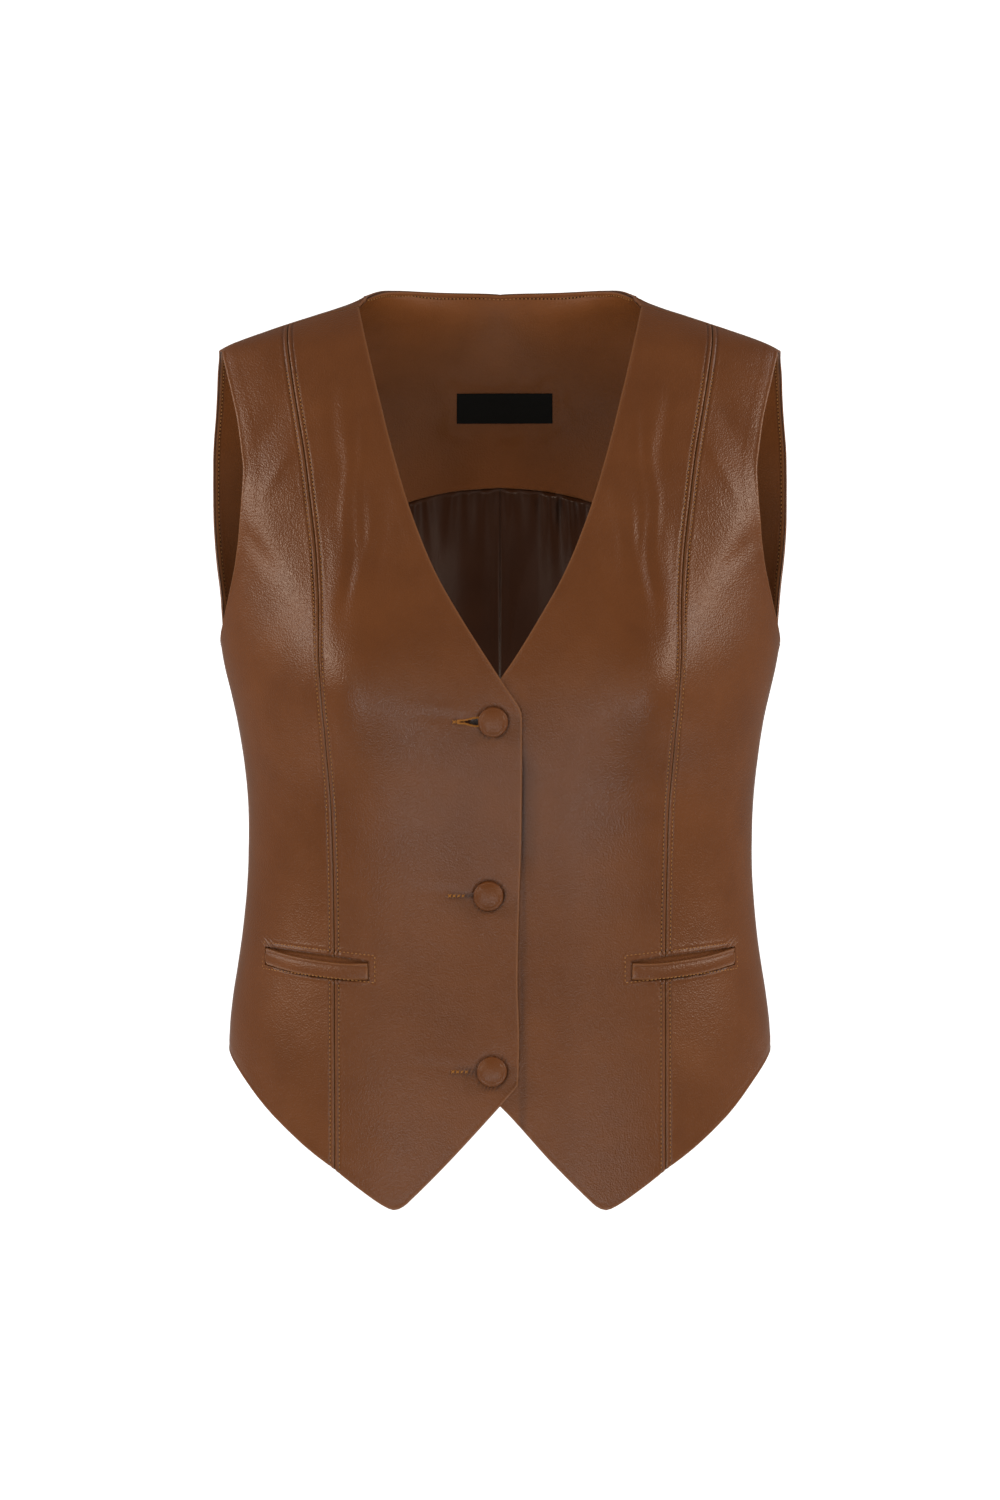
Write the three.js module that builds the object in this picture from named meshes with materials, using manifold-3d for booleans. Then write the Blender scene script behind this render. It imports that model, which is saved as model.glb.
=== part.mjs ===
// A fitted waistcoat in smooth faux leather, hollow as it is worn: V neck, three covered buttons, princess seams
// from shoulder to hem, two welt pockets and a pointed front hem. The back carries a leather facing round the neck
// and armholes, a satin lining below it and a plain neck label.
//
// Millimetres. +Z is up, +X is the viewer's right and the fronts face -Y. The origin is midway between the two
// neck points of the shoulders, at their height, where the wearer's shoulders carry the garment.

import * as THREE from "three";
import Module from "manifold-3d";
import { mergeVertices } from "three/addons/utils/BufferGeometryUtils.js";

const wasm = await Module();
wasm.setup();

// Driving sizes
const SHELL = 1.4; // leather with its backing
const FACING = 1.0; // facing and lining cloth
const SEAM_GAP = 0.3; // between neighbouring pieces
const NORMAL_REACH = 5; // distance over which the walls' direction is averaged
const SHOULDER_SEAM_Y = -8; // the shoulder seams lie this far in front of the ridge
const SIDE_SEAM_Y = 10; // the side seams lie this far behind the widest line
const ARMPIT_Z = -217.5;
const SIDE_HEM_Z = -469;
const BACK_HEM_Z = -472;
const NECK_POINT_Z = -4.6; // where the shoulder seam meets the neck edge
const SHOULDER_TIP_Z = -32.5;
const BACK_NECK_Z = 10.6;
const LINING_HEM_AT = 0.06; // the lining ends this fraction of the way up from the hem to the facing
const FACING_SIDE_Z = -242; // the facing runs this far down the side seams
const FACING_CENTRE_Z = -112.5;

const LAP = { wearerRight: 0, wearerLeft: 5 }; // the lower front reaches this much further under the upper one
const UNDERLAP_DROP = 2.0; // the lower front is this much further in where the fronts overlap
const UNDERLAP_FLAT_X = 15; // it is that low up to here
const UNDERLAP_END_X = 46; // and level again here
const LAP_EASE_X = 12; // the extra lap is whole this far past the centre line

const BUTTON = { radius: 9, rim: 1.5, dome: 1.5, stand: 1.1, shank: 1.5 };
const BUTTONHOLE = { length: 24, height: 3.7, endHeight: 1.4, widestAt: 0.55, pastShank: 1.0 };
const LABEL = { width: 62.5, height: 19.5, thickness: 0.6, x: 3, z: -61, gap: 0.6 };
const WELT = { thickness: 1.4, crown: [-0.1, 0.3, 0.7, 0.4, -0.1] }; // crown: its height over the front, row by row
const POCKET_FACING_MARGIN = 7; // the strip behind the pocket's window is this much larger all round
const CUTTER_DEPTH = 40; // of the shapes that cut the buttonholes, more than the front's slope there

// Sections of the body that the garment is filled out by. half is the half width of the front part at the side
// line, backHalf that of the back part; front and back are depths from the side line; the powers square the
// corners of each section, from 2, an ellipse, upwards.
const SECTIONS = [
  { z: -590, half: 166.2, backHalf: 166.2, front: 111, back: 100, frontPower: 2.3, backPower: 2.35 },
  { z: -530, half: 168.2, backHalf: 168.2, front: 110, back: 100, frontPower: 2.3, backPower: 2.35 },
  { z: -480, half: 170.2, backHalf: 170.2, front: 107, back: 99, frontPower: 2.3, backPower: 2.35 },
  { z: -463, half: 171, backHalf: 171, front: 105, back: 97, frontPower: 2.3, backPower: 2.35 },
  { z: -445, half: 169.2, backHalf: 169.2, front: 103, back: 93, frontPower: 2.3, backPower: 2.35 },
  { z: -405, half: 163, backHalf: 163, front: 99, back: 82, frontPower: 2.3, backPower: 2.35 },
  { z: -378, half: 159.8, backHalf: 159.8, front: 98, back: 75, frontPower: 2.3, backPower: 2.35 },
  { z: -348, half: 158, backHalf: 158, front: 100, back: 71, frontPower: 2.3, backPower: 2.35 },
  { z: -318, half: 158.6, backHalf: 158.6, front: 104, back: 74, frontPower: 2.3, backPower: 2.35 },
  { z: -287, half: 162.2, backHalf: 162.2, front: 110, back: 81, frontPower: 2.3, backPower: 2.35 },
  { z: -251, half: 168.5, backHalf: 168.5, front: 112, back: 91, frontPower: 2.3, backPower: 2.35 },
  { z: -232, half: 174, backHalf: 174, front: 110, back: 95, frontPower: 2.3, backPower: 2.35 },
  { z: -214, half: 176.7, backHalf: 176.7, front: 106, back: 97, frontPower: 2.3, backPower: 2.35 },
  { z: -190, half: 177, backHalf: 184.2, front: 100, back: 98, frontPower: 2.3, backPower: 2.35 },
  { z: -165, half: 179.8, backHalf: 195.2, front: 93, back: 98, frontPower: 2.3, backPower: 2.35 },
  { z: -130, half: 188, backHalf: 204.2, front: 83, back: 95, frontPower: 2.3, backPower: 2.35 },
  { z: -95, half: 194, backHalf: 204.6, front: 69, back: 90, frontPower: 2.2, backPower: 2.3 },
  { z: -60, half: 192, backHalf: 192, front: 54, back: 84, frontPower: 2.1, backPower: 2.0 },
  { z: -40, half: 184.8, backHalf: 184.8, front: 45, back: 79, frontPower: 2.0, backPower: 1.6 },
  { z: -30, half: 175.8, backHalf: 175.8, front: 39, back: 76, frontPower: 2.0, backPower: 1.45 },
  { z: -20, half: 148, backHalf: 148, front: 32, back: 73, frontPower: 2.0, backPower: 1.37 },
  { z: -10, half: 118, backHalf: 118, front: 23, back: 70, frontPower: 2.0, backPower: 1.35 },
  { z: -5, half: 103, backHalf: 103, front: 17, back: 68, frontPower: 2.0, backPower: 1.37 },
  { z: 0, half: 89, backHalf: 89, front: 10, back: 66, frontPower: 2.0, backPower: 1.45 },
  { z: 5, half: 83, backHalf: 83, front: 7, back: 64, frontPower: 2.0, backPower: 1.6 },
  { z: 10, half: 79, backHalf: 79, front: 5, back: 62, frontPower: 2.0, backPower: 1.8 },
  { z: 20, half: 72, backHalf: 72, front: 4, back: 58, frontPower: 2.0, backPower: 1.9 },
];
const BUST = { x: 92, z: -243, depth: 20, wide: 40, above: 58, below: 46, fade: 45 };
const ROUNDING = { x: 10, y: 3 }; // of the centre line and of the shoulder ridge

// Outlines of one front, from the bottom up. x counts from the centre line to the front's own side.
const FRONT_EDGE = [
  { x: -10.9, z: -486.4 },
  { x: -11.3, z: -478 },
  { x: -11.6, z: -453 },
  { x: -10.7, z: -427 },
  { x: -11.8, z: -374 },
  { x: -12.8, z: -344 },
  { x: -13.3, z: -301 },
  { x: -13.3, z: -264 },
];
const NECK_EDGE = [
  { x: -13.3, z: -264 },
  { x: -12.4, z: -259.5 },
  { x: 0, z: -240.4 },
  { x: 24.1, z: -202.4 },
  { x: 40.0, z: -173.6 },
  { x: 54.8, z: -136.5 },
  { x: 66.2, z: -98.5 },
  { x: 74.9, z: -64.3 },
  { x: 83.9, z: -26.5 },
];
const PRINCESS_SEAM = [
  { x: 100.5, z: -538.4 },
  { x: 100.6, z: -479 },
  { x: 101.4, z: -401 },
  { x: 101.8, z: -375 },
  { x: 102.6, z: -339.5 },
  { x: 104.6, z: -299.8 },
  { x: 107.3, z: -266.9 },
  { x: 109.2, z: -242 },
  { x: 110.2, z: -205 },
  { x: 111.7, z: -174.4 },
  { x: 115.3, z: -139.9 },
  { x: 119.9, z: -104.9 },
  { x: 126.2, z: -69.3 },
  { x: 130.3, z: -44.8 },
];
const CENTRE_HEM = [
  { x: -10.9, z: -486.4 },
  { x: 0, z: -498.8 },
  { x: 31.9, z: -533.4 },
  { x: 53.7, z: -555.3 },
  { x: 58.6, z: -559.7 },
  { x: 64.0, z: -561.8 },
  { x: 70.1, z: -559.7 },
  { x: 86.6, z: -548.9 },
];
// The side hem continues it to the side seam, where the cloth faces sideways, so y places its rows.
const SIDE_HEM = [
  { y: -86.8, z: -528.3 },
  { y: -76.1, z: -514.7 },
  { y: -63.3, z: -501.1 },
  { y: -48.5, z: -487.5 },
  { y: -33, z: -478.2 },
  { y: -18, z: -472.8 },
  { y: 0, z: -469.8 },
  { y: SIDE_SEAM_Y, z: SIDE_HEM_Z },
];
// The armhole seen from the side, from the side seam up to the shoulder tip.
const FRONT_ARMHOLE = [
  { y: SIDE_SEAM_Y, z: ARMPIT_Z },
  { y: -4, z: -216.5 },
  { y: -19, z: -211 },
  { y: -31, z: -200.8 },
  { y: -39, z: -187 },
  { y: -45.5, z: -168 },
  { y: -49, z: -146 },
  { y: -49.3, z: -128 },
  { y: -46.9, z: -110.9 },
  { y: -42.5, z: -96.7 },
  { y: -37, z: -81.7 },
  { y: -31.3, z: -68.1 },
  { y: -22.1, z: -49.9 },
  { y: -12.6, z: -36.4 },
  { y: SHOULDER_SEAM_Y, z: SHOULDER_TIP_Z },
];
const BACK_ARMHOLE = [
  { y: SIDE_SEAM_Y, z: ARMPIT_Z },
  { y: 20, z: -209.5 },
  { y: 29, z: -196.5 },
  { y: 38, z: -180 },
  { y: 46, z: -155.3 },
  { y: 48.8, z: -129.4 },
  { y: 46.8, z: -102 },
  { y: 41, z: -80 },
  { y: 29, z: -60.5 },
  { y: 16, z: -44 },
  { y: 7, z: -35 },
  { y: 0, z: -31.8 },
  { y: SHOULDER_SEAM_Y, z: SHOULDER_TIP_Z },
];
const BACK_NECK = [
  { x: 86.3, z: 1.5 },
  { x: 82.8, z: 4.6 },
  { x: 76, z: 7.8 },
  { x: 66.8, z: 9.3 },
  { x: 38.5, z: 10.4 },
  { x: 0, z: BACK_NECK_Z },
];
const BACK_HEM = [
  { x: 120, z: -470 },
  { x: 60, z: -471.5 },
  { x: 0, z: BACK_HEM_Z },
];
const FACING_HEM = [
  { x: 150.5, z: -222 },
  { x: 143, z: -190 },
  { x: 127, z: -162 },
  { x: 98, z: -139 },
  { x: 60.7, z: -122.4 },
  { x: 30, z: -115 },
  { x: 0, z: FACING_CENTRE_Z },
];
const POCKET = {
  top: [
    { x: 145.2, z: -404.6 },
    { x: 128.2, z: -406.6 },
    { x: 104.2, z: -409.2 },
    { x: 80.2, z: -412.4 },
  ],
  weltTop: [
    { x: 145.0, z: -405.1 },
    { x: 125.7, z: -409.6 },
    { x: 98.6, z: -412.9 },
    { x: 88.3, z: -413.2 },
    { x: 80.3, z: -412.8 },
  ],
  bottom: [
    { x: 145.4, z: -415.8 },
    { x: 125.4, z: -420.4 },
    { x: 106.5, z: -423 },
    { x: 93.7, z: -423.8 },
    { x: 79.9, z: -423.6 },
  ],
};
const BUTTONS = [
  { name: "button_top", x: -4.2, z: -266.6 },
  { name: "button_middle", x: -7.0, z: -372 },
  { name: "button_bottom", x: -4.9, z: -478 },
];

// The largest drape lines on each front, as ridges (height above 0) and troughs, from one end to the other.
const FOLDS = [
  { x0: 97, z0: -112, x1: 95, z1: -232, width: 5, height: 0.9 },
  { x0: 88, z0: -105, x1: 86, z1: -225, width: 5, height: -0.9 },
  { x0: 80, z0: -92, x1: 77, z1: -205, width: 5.5, height: 0.7 },
  { x0: 72, z0: -96, x1: 68, z1: -190, width: 5, height: -0.7 },
  { x0: 62, z0: -120, x1: 52, z1: -210, width: 6.5, height: 0.8 },
  { x0: 159, z0: -112, x1: 133, z1: -66, width: 9, height: -1.3 },
  { x0: 152, z0: -134, x1: 122, z1: -200, width: 13, height: 1.2 },
];

const clamp = THREE.MathUtils.clamp;
const smoothstep = THREE.MathUtils.smoothstep;

// A monotone cubic through the rows of a table, of column key against z.
function monotoneCubic(rows, key) {
  const steps = rows.slice(1).map((row, i) => row.z - rows[i].z);
  const slopes = steps.map((step, i) => (rows[i + 1][key] - rows[i][key]) / step);
  const tangents = rows.map((row, i) => {
    if (i === 0) return slopes[0];
    if (i === slopes.length) return slopes[i - 1];
    if (slopes[i - 1] * slopes[i] <= 0) return 0;
    const before = 2 * steps[i] + steps[i - 1];
    const after = steps[i] + 2 * steps[i - 1];
    return (before + after) / (before / slopes[i - 1] + after / slopes[i]);
  });
  return (z) => {
    const at = clamp(z, rows[0].z, rows[rows.length - 1].z);
    let i = 0;
    while (i < slopes.length - 1 && at > rows[i + 1].z) i += 1;
    const t = (at - rows[i].z) / steps[i];
    const rise = rows[i + 1][key] - rows[i][key];
    const bend0 = tangents[i] * steps[i] - rise;
    const bend1 = rise - tangents[i + 1] * steps[i];
    return rows[i][key] + t * rise + t * (1 - t) * ((1 - t) * bend0 + t * bend1);
  };
}

// The same column, blurred by a few millimetres so that the cloth has no ridges at the rows, and kept as a
// lookup of one value a millimetre.
function profile(key) {
  const raw = monotoneCubic(SECTIONS, key);
  const low = SECTIONS[0].z;
  const count = SECTIONS[SECTIONS.length - 1].z - low + 1;
  const offsets = Array.from({ length: 13 }, (_, k) => (k - 6) / 2);
  const values = Array.from({ length: count }, (_, i) => {
    const z = low + i;
    const blur = 3 + 9 * smoothstep(-z, 30, 150);
    let sum = 0;
    let weights = 0;
    for (const offset of offsets) {
      const weight = Math.exp(-offset * offset / 2);
      sum += weight * raw(z + offset * blur);
      weights += weight;
    }
    return sum / weights;
  });
  return (z) => {
    const at = clamp(z - low, 0, count - 1.001);
    const i = Math.floor(at);
    return values[i] + (at - i) * (values[i + 1] - values[i]);
  };
}

const section = {
  half: profile("half"),
  backHalf: profile("backHalf"),
  front: profile("front"),
  back: profile("back"),
  frontPower: profile("frontPower"),
  backPower: profile("backPower"),
};

function bustDepth(x, z) {
  const across = (Math.abs(x) - BUST.x) / BUST.wide;
  const along = (z - BUST.z) / (z > BUST.z ? BUST.above : BUST.below);
  return BUST.depth * Math.exp(-across * across - along * along);
}

// The section's width, depth and power on the side of the body that y is on.
function sizesAt(y, z) {
  if (y < 0) return { half: section.half(z), deep: section.front(z), power: section.frontPower(z) };
  return { half: section.backHalf(z), deep: section.back(z), power: section.backPower(z) };
}

// 0 on the garment's surface, above 0 outside it: a superellipse in each section, with the bust as a shift in y.
// The hypotenuses round off the centre line and the shoulder ridge.
function level(x, y, z) {
  const { half, deep, power } = sizesAt(y, z);
  const bust = y < 0 ? bustDepth(x, z) * smoothstep(-y, 0, BUST.fade) : 0;
  const across = Math.hypot(x, ROUNDING.x) / half;
  const through = Math.hypot(y + bust, ROUNDING.y) / deep;
  return Math.pow(Math.pow(across, power) + Math.pow(through, power), 1 / power) - 1;
}

function gradient(p, h = 0.05) {
  return new THREE.Vector3(
    level(p.x + h, p.y, p.z) - level(p.x - h, p.y, p.z),
    level(p.x, p.y + h, p.z) - level(p.x, p.y - h, p.z),
    level(p.x, p.y, p.z + h) - level(p.x, p.y, p.z - h),
  ).divideScalar(2 * h);
}

// Moves a point out or in until it lies on the surface: along the surface's normal, or along the way given.
function settle(p, way) {
  const q = p.clone();
  for (let step = 0; step < 12; step += 1) {
    const slope = gradient(q);
    const along = way ?? slope;
    q.addScaledVector(along, -level(q.x, q.y, q.z) / slope.dot(along));
  }
  return q;
}

const rootOf = (share, power) => Math.pow(Math.max(0, 1 - Math.pow(Math.min(1, share), power)), 1 / power);

function onFront(x, z) {
  const { half, deep, power } = sizesAt(-1, z);
  return settle(new THREE.Vector3(x, -deep * rootOf(Math.abs(x) / half, power) - bustDepth(x, z), z));
}

function onBack(x, z) {
  const { half, deep, power } = sizesAt(1, z);
  return settle(new THREE.Vector3(x, deep * rootOf(Math.abs(x) / half, power), z));
}

function onSide(y, z) {
  const { half, deep, power } = sizesAt(y, z);
  return settle(new THREE.Vector3(half * rootOf(Math.abs(y) / deep, power), y, z));
}

// The direction that walls are thickened in, taken over a few millimetres so that it turns smoothly over the ridge.
const outward = (p) => gradient(p, NORMAL_REACH).normalize();

// Height of the drape lines above the plain surface: each is a soft ridge round a straight line, fading at its ends.
function drape(p) {
  if (p.y > 0) return 0;
  let height = 0;
  for (const fold of FOLDS) {
    const dx = fold.x1 - fold.x0;
    const dz = fold.z1 - fold.z0;
    const length = Math.hypot(dx, dz);
    const rx = Math.abs(p.x) - fold.x0;
    const rz = p.z - fold.z0;
    const along = (rx * dx + rz * dz) / (length * length);
    const aside = (rx * dz - rz * dx) / length / fold.width;
    const ends = smoothstep(along, -0.25, 0.3) * (1 - smoothstep(along, 0.65, 1.2));
    height += fold.height * ends * Math.exp(-aside * aside);
  }
  return height;
}

// A smooth curve through points in space, by arc length from 0 to 1, kept on the garment's surface.
function curveOn(points) {
  const curve = new THREE.CatmullRomCurve3(points, false, "centripetal");
  curve.arcLengthDivisions = 400;
  return (t) => settle(curve.getPointAt(clamp(t, 0, 1)));
}

// Two curves one after the other, the first up to fraction joint.
const chain = (first, second, joint) => (t) => (t <= joint ? first(t / joint) : second((t - joint) / (1 - joint)));

// Rows of an outline on the front, those past the centre line moved out by the extra lap.
const frontPoints = (rows, lap = 0) =>
  rows.map(({ x, z }) => onFront(x < 0 ? x - lap * smoothstep(-x, 0, LAP_EASE_X) : x, z));
const backPoints = (rows) => rows.map(({ x, z }) => onBack(x, z));
const sidePoints = (rows) => rows.map(({ y, z }) => onSide(y, z));

// A Coons patch between four curves, on the surface: u runs from left to right, v from bottom to top. Its inner
// points settle along the surface's normal. Where a patch crosses the shoulder ridge it is blended as seen from a
// point inside the body, its heart, and settles along the lines of sight, so that no lines cross.
function patch({ left, right, bottom, top, us, vs, heart }) {
  const [lefts, rights, bottoms, tops] = [vs.map(left), vs.map(right), us.map(bottom), us.map(top)];
  const seen = (p) => (heart ? p.clone().sub(heart).normalize() : p);
  const blend = (starts, ends, i, t) => seen(starts[i]).clone().lerp(seen(ends[i]), t);
  const last = { row: vs.length - 1, column: us.length - 1 };
  return vs.map((v, row) =>
    us.map((u, column) => {
      if (row === 0) return bottoms[column].clone();
      if (row === last.row) return tops[column].clone();
      if (column === 0) return lefts[row].clone();
      if (column === last.column) return rights[row].clone();
      const corners = blend(lefts, rights, 0, u).lerp(blend(lefts, rights, last.row, u), v);
      const inside = blend(lefts, rights, row, u).add(blend(bottoms, tops, column, v)).sub(corners);
      if (!heart) return settle(inside);
      const sight = inside.normalize();
      return settle(heart.clone().addScaledVector(sight, tops[column].distanceTo(heart)), sight);
    }),
  );
}

// The grid with its named edges moved inwards, in the surface and square to the edge.
function drawnIn(grid, edges, gap = SEAM_GAP / 2) {
  const rows = grid.length - 1;
  const columns = grid[0].length - 1;
  const moves = grid.map((line) => line.map(() => new THREE.Vector3()));
  const move = (row, column, inRow, inColumn, before, after) => {
    const here = grid[row][column];
    const aside = after.clone().sub(before).cross(outward(here)).normalize();
    if (aside.dot(grid[inRow][inColumn].clone().sub(here)) < 0) aside.negate();
    moves[row][column].addScaledVector(aside, gap);
  };
  for (let row = 0; row <= rows; row += 1) {
    const [low, high] = [grid[Math.max(0, row - 1)], grid[Math.min(rows, row + 1)]];
    if (edges.includes("left")) move(row, 0, row, 1, low[0], high[0]);
    if (edges.includes("right")) move(row, columns, row, columns - 1, low[columns], high[columns]);
  }
  for (let column = 0; column <= columns; column += 1) {
    const [low, high] = [Math.max(0, column - 1), Math.min(columns, column + 1)];
    if (edges.includes("bottom")) move(0, column, 1, column, grid[0][low], grid[0][high]);
    if (edges.includes("top")) move(rows, column, rows - 1, column, grid[rows][low], grid[rows][high]);
  }
  return grid.map((line, row) => line.map((p, column) => settle(p.clone().add(moves[row][column]))));
}

// Closes a grid of points into a wall: outer face, inner face and the edges all round. lift moves both faces out,
// by a number or by a function of the point and its row and column. Each cell's diagonal rises towards the centre
// line, so that walls on the same points nest, left or right.
function wall(grid, thickness, lift = 0) {
  const rows = grid.length;
  const columns = grid[0].length;
  const outer = [];
  const inner = [];
  grid.forEach((line, row) =>
    line.forEach((p, column) => {
      const n = outward(p);
      const raise = typeof lift === "function" ? lift(p, row, column) : lift;
      const face = p.clone().addScaledVector(n, raise + drape(p));
      outer.push(face.x, face.y, face.z);
      const lining = face.addScaledVector(n, -thickness);
      inner.push(lining.x, lining.y, lining.z);
    }),
  );
  const count = rows * columns;
  const index = [];
  const quad = (a, b, c, d) => index.push(a, b, c, a, c, d);
  for (let row = 0; row < rows - 1; row += 1) {
    for (let column = 0; column < columns - 1; column += 1) {
      const a = row * columns + column;
      const [b, c, d] = [a + 1, a + columns + 1, a + columns];
      const inwards = Math.abs(grid[row][column].x) >= Math.abs(grid[row][column + 1].x);
      const [p, q, r, s] = inwards ? [a, b, c, d] : [b, c, d, a];
      quad(p, q, r, s);
      quad(p + count, s + count, r + count, q + count);
    }
  }
  const rim = [];
  for (let column = 0; column < columns; column += 1) rim.push(column);
  for (let row = 1; row < rows; row += 1) rim.push(row * columns + columns - 1);
  for (let column = columns - 2; column >= 0; column -= 1) rim.push((rows - 1) * columns + column);
  for (let row = rows - 2; row > 0; row -= 1) rim.push(row * columns);
  rim.forEach((a, i) => {
    const b = rim[(i + 1) % rim.length];
    quad(b, a, a + count, b + count);
  });
  return faced(new Float32Array([...outer, ...inner]), index);
}

// A geometry whose faces point outwards, whichever way its grid ran.
function faced(positions, index) {
  let volume = 0;
  const at = (i) => new THREE.Vector3().fromArray(positions, 3 * i);
  for (let i = 0; i < index.length; i += 3) {
    volume += at(index[i]).dot(at(index[i + 1]).cross(at(index[i + 2])));
  }
  if (volume < 0) {
    for (let i = 0; i < index.length; i += 3) [index[i + 1], index[i + 2]] = [index[i + 2], index[i + 1]];
  }
  const geometry = new THREE.BufferGeometry();
  geometry.setAttribute("position", new THREE.BufferAttribute(positions, 3));
  geometry.setIndex(index);
  return geometry;
}

function solidOf(geometry) {
  const bare = geometry.clone();
  bare.deleteAttribute("normal");
  bare.deleteAttribute("uv");
  const merged = mergeVertices(bare, 1e-4);
  return new wasm.Manifold(new wasm.Mesh({
    numProp: 3,
    vertProperties: new Float32Array(merged.attributes.position.array),
    triVerts: new Uint32Array(merged.index.array),
  }));
}

function geometryOf(solid) {
  const mesh = solid.getMesh();
  const geometry = new THREE.BufferGeometry();
  geometry.setAttribute("position", new THREE.BufferAttribute(new Float32Array(mesh.vertProperties), 3));
  geometry.setIndex([...mesh.triVerts]);
  return geometry;
}

// Cuts a geometry by others.
function cut(geometry, cutters) {
  return geometryOf(cutters.reduce((solid, cutter) => solid.subtract(solidOf(cutter)), solidOf(geometry)));
}

// The mirror image across the centre plane, faces still outwards.
function mirrored(geometry) {
  const positions = new Float32Array(geometry.attributes.position.array);
  for (let i = 0; i < positions.length; i += 3) positions[i] = -positions[i];
  return faced(positions, [...geometry.index.array]);
}

const spaced = (count) => Array.from({ length: count + 1 }, (_, i) => i / count);
const between = (low, high, count) => spaced(count).map((t) => low + t * (high - low));
// Merges lists of fractions into one, each fraction once.
const stops = (...lists) => [...new Set(lists.flat().map((t) => Math.round(t * 1e5) / 1e5))].sort((a, b) => a - b);

// Seams and edges of the side with x above 0
const NECK_START = 0.46; // fraction of a front's height where the neck edge begins
const ARMPIT_AT = 0.55; // and where the armhole does
const FRONT_ROWS = stops(
  between(0, NECK_START, 14),
  between(NECK_START, ARMPIT_AT, 3),
  between(ARMPIT_AT, 0.93, 10),
  [0.96, 0.985, 1],
);
const shoulderSplit = 0.505; // where the princess seam meets the shoulder, as a fraction from the neck point
const seams = {
  side: curveOn(sidePoints(between(SIDE_HEM_Z, ARMPIT_Z, 12).map((z) => ({ y: SIDE_SEAM_Y, z })))),
  shoulder: curveOn(sidePoints(between(SHOULDER_TIP_Z, NECK_POINT_Z, 10).map((z) => ({ y: SHOULDER_SEAM_Y, z })))),
};
const frontArmhole = curveOn(sidePoints(FRONT_ARMHOLE));
const backArmhole = curveOn(sidePoints(BACK_ARMHOLE));
const neckPoint = seams.shoulder(1);
seams.princess = curveOn([...frontPoints(PRINCESS_SEAM), seams.shoulder(1 - shoulderSplit)]);
const backNeck = curveOn([neckPoint, ...backPoints(BACK_NECK)]);
const centreBack = (low, high) => curveOn(backPoints(between(low, high, 12).map((z) => ({ x: 0, z }))));
const shoulderPart = (from, to) => (t) => seams.shoulder(from + t * (to - from));

function frontCentre(lap) {
  const edge = chain(
    curveOn(frontPoints(FRONT_EDGE, lap)),
    curveOn([...frontPoints(NECK_EDGE, lap), neckPoint]),
    NECK_START,
  );
  const hem = curveOn([...frontPoints(CENTRE_HEM, lap), seams.princess(0)]);
  const grid = patch({
    left: edge,
    right: seams.princess,
    bottom: hem,
    top: shoulderPart(1, 1 - shoulderSplit),
    us: spaced(14),
    vs: FRONT_ROWS,
  });
  return drawnIn(grid, ["right", "top"]);
}

function frontSide() {
  const grid = patch({
    left: seams.princess,
    right: chain(seams.side, frontArmhole, ARMPIT_AT),
    bottom: curveOn([seams.princess(0), ...sidePoints(SIDE_HEM)]),
    top: shoulderPart(1 - shoulderSplit, 0),
    us: spaced(7),
    vs: FRONT_ROWS,
  });
  return drawnIn(grid, ["left", "right", "top"]);
}

// The back is one grid in two parts, below the facing's lower edge and above it, so that the facing and the lining
// lie on its own points. Its columns run from the side seam, by the armhole, shoulder and neck, to the centre.
const SHOULDER_FROM = 0.46; // fractions of the top edge where the shoulder seam begins and ends
const SHOULDER_TO = 0.74;
const HEM_AT_TIP = 0.7; // fractions of the lower edges that face the shoulder's tip and neck point
const HEM_AT_NECK = 0.88;
const BACK_COLUMNS = stops(
  between(0, SHOULDER_FROM, 8),
  between(SHOULDER_FROM, SHOULDER_TO, 5),
  between(SHOULDER_TO, 1, 4),
);
const LINING_ROWS = between(LINING_HEM_AT, 1, 10);
const FACING_ROWS = [0, 0.16, 0.32, 0.47, 0.6, 0.71, 0.8, 0.86, 0.9, 0.93, 0.965, 1];
const sideBetween = (low, high) => curveOn(
  sidePoints(between(low, high, 6).map((z) => ({ y: SIDE_SEAM_Y, z }))),
);
// A lower edge, run through so that its points face those of the armhole, shoulder and neck above.
function facingUp(curve) {
  const upper = (u) => HEM_AT_TIP + (HEM_AT_NECK - HEM_AT_TIP) * (u - SHOULDER_FROM) / (SHOULDER_TO - SHOULDER_FROM);
  const last = (u) => HEM_AT_NECK + (1 - HEM_AT_NECK) * (u - SHOULDER_TO) / (1 - SHOULDER_TO);
  return (u) => {
    if (u <= SHOULDER_FROM) return curve(HEM_AT_TIP * u / SHOULDER_FROM);
    return curve(u <= SHOULDER_TO ? upper(u) : last(u));
  };
}
const facingHem = facingUp(curveOn([onSide(SIDE_SEAM_Y, FACING_SIDE_Z), ...backPoints(FACING_HEM)]));
const neckAndShoulder = chain(
  seams.shoulder,
  backNeck,
  (SHOULDER_TO - SHOULDER_FROM) / (1 - SHOULDER_FROM),
);

const backBelow = patch({
  left: sideBetween(SIDE_HEM_Z, FACING_SIDE_Z),
  right: centreBack(BACK_HEM_Z, FACING_CENTRE_Z),
  bottom: facingUp(curveOn([onSide(SIDE_SEAM_Y, SIDE_HEM_Z), ...backPoints(BACK_HEM)])),
  top: facingHem,
  us: BACK_COLUMNS,
  vs: stops([0], LINING_ROWS),
});
const backAbove = patch({
  left: sideBetween(FACING_SIDE_Z, ARMPIT_Z),
  right: centreBack(FACING_CENTRE_Z, BACK_NECK_Z),
  bottom: facingHem,
  top: chain(backArmhole, neckAndShoulder, SHOULDER_FROM),
  us: BACK_COLUMNS,
  vs: FACING_ROWS,
  heart: new THREE.Vector3(0, 0, -200),
});

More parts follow.
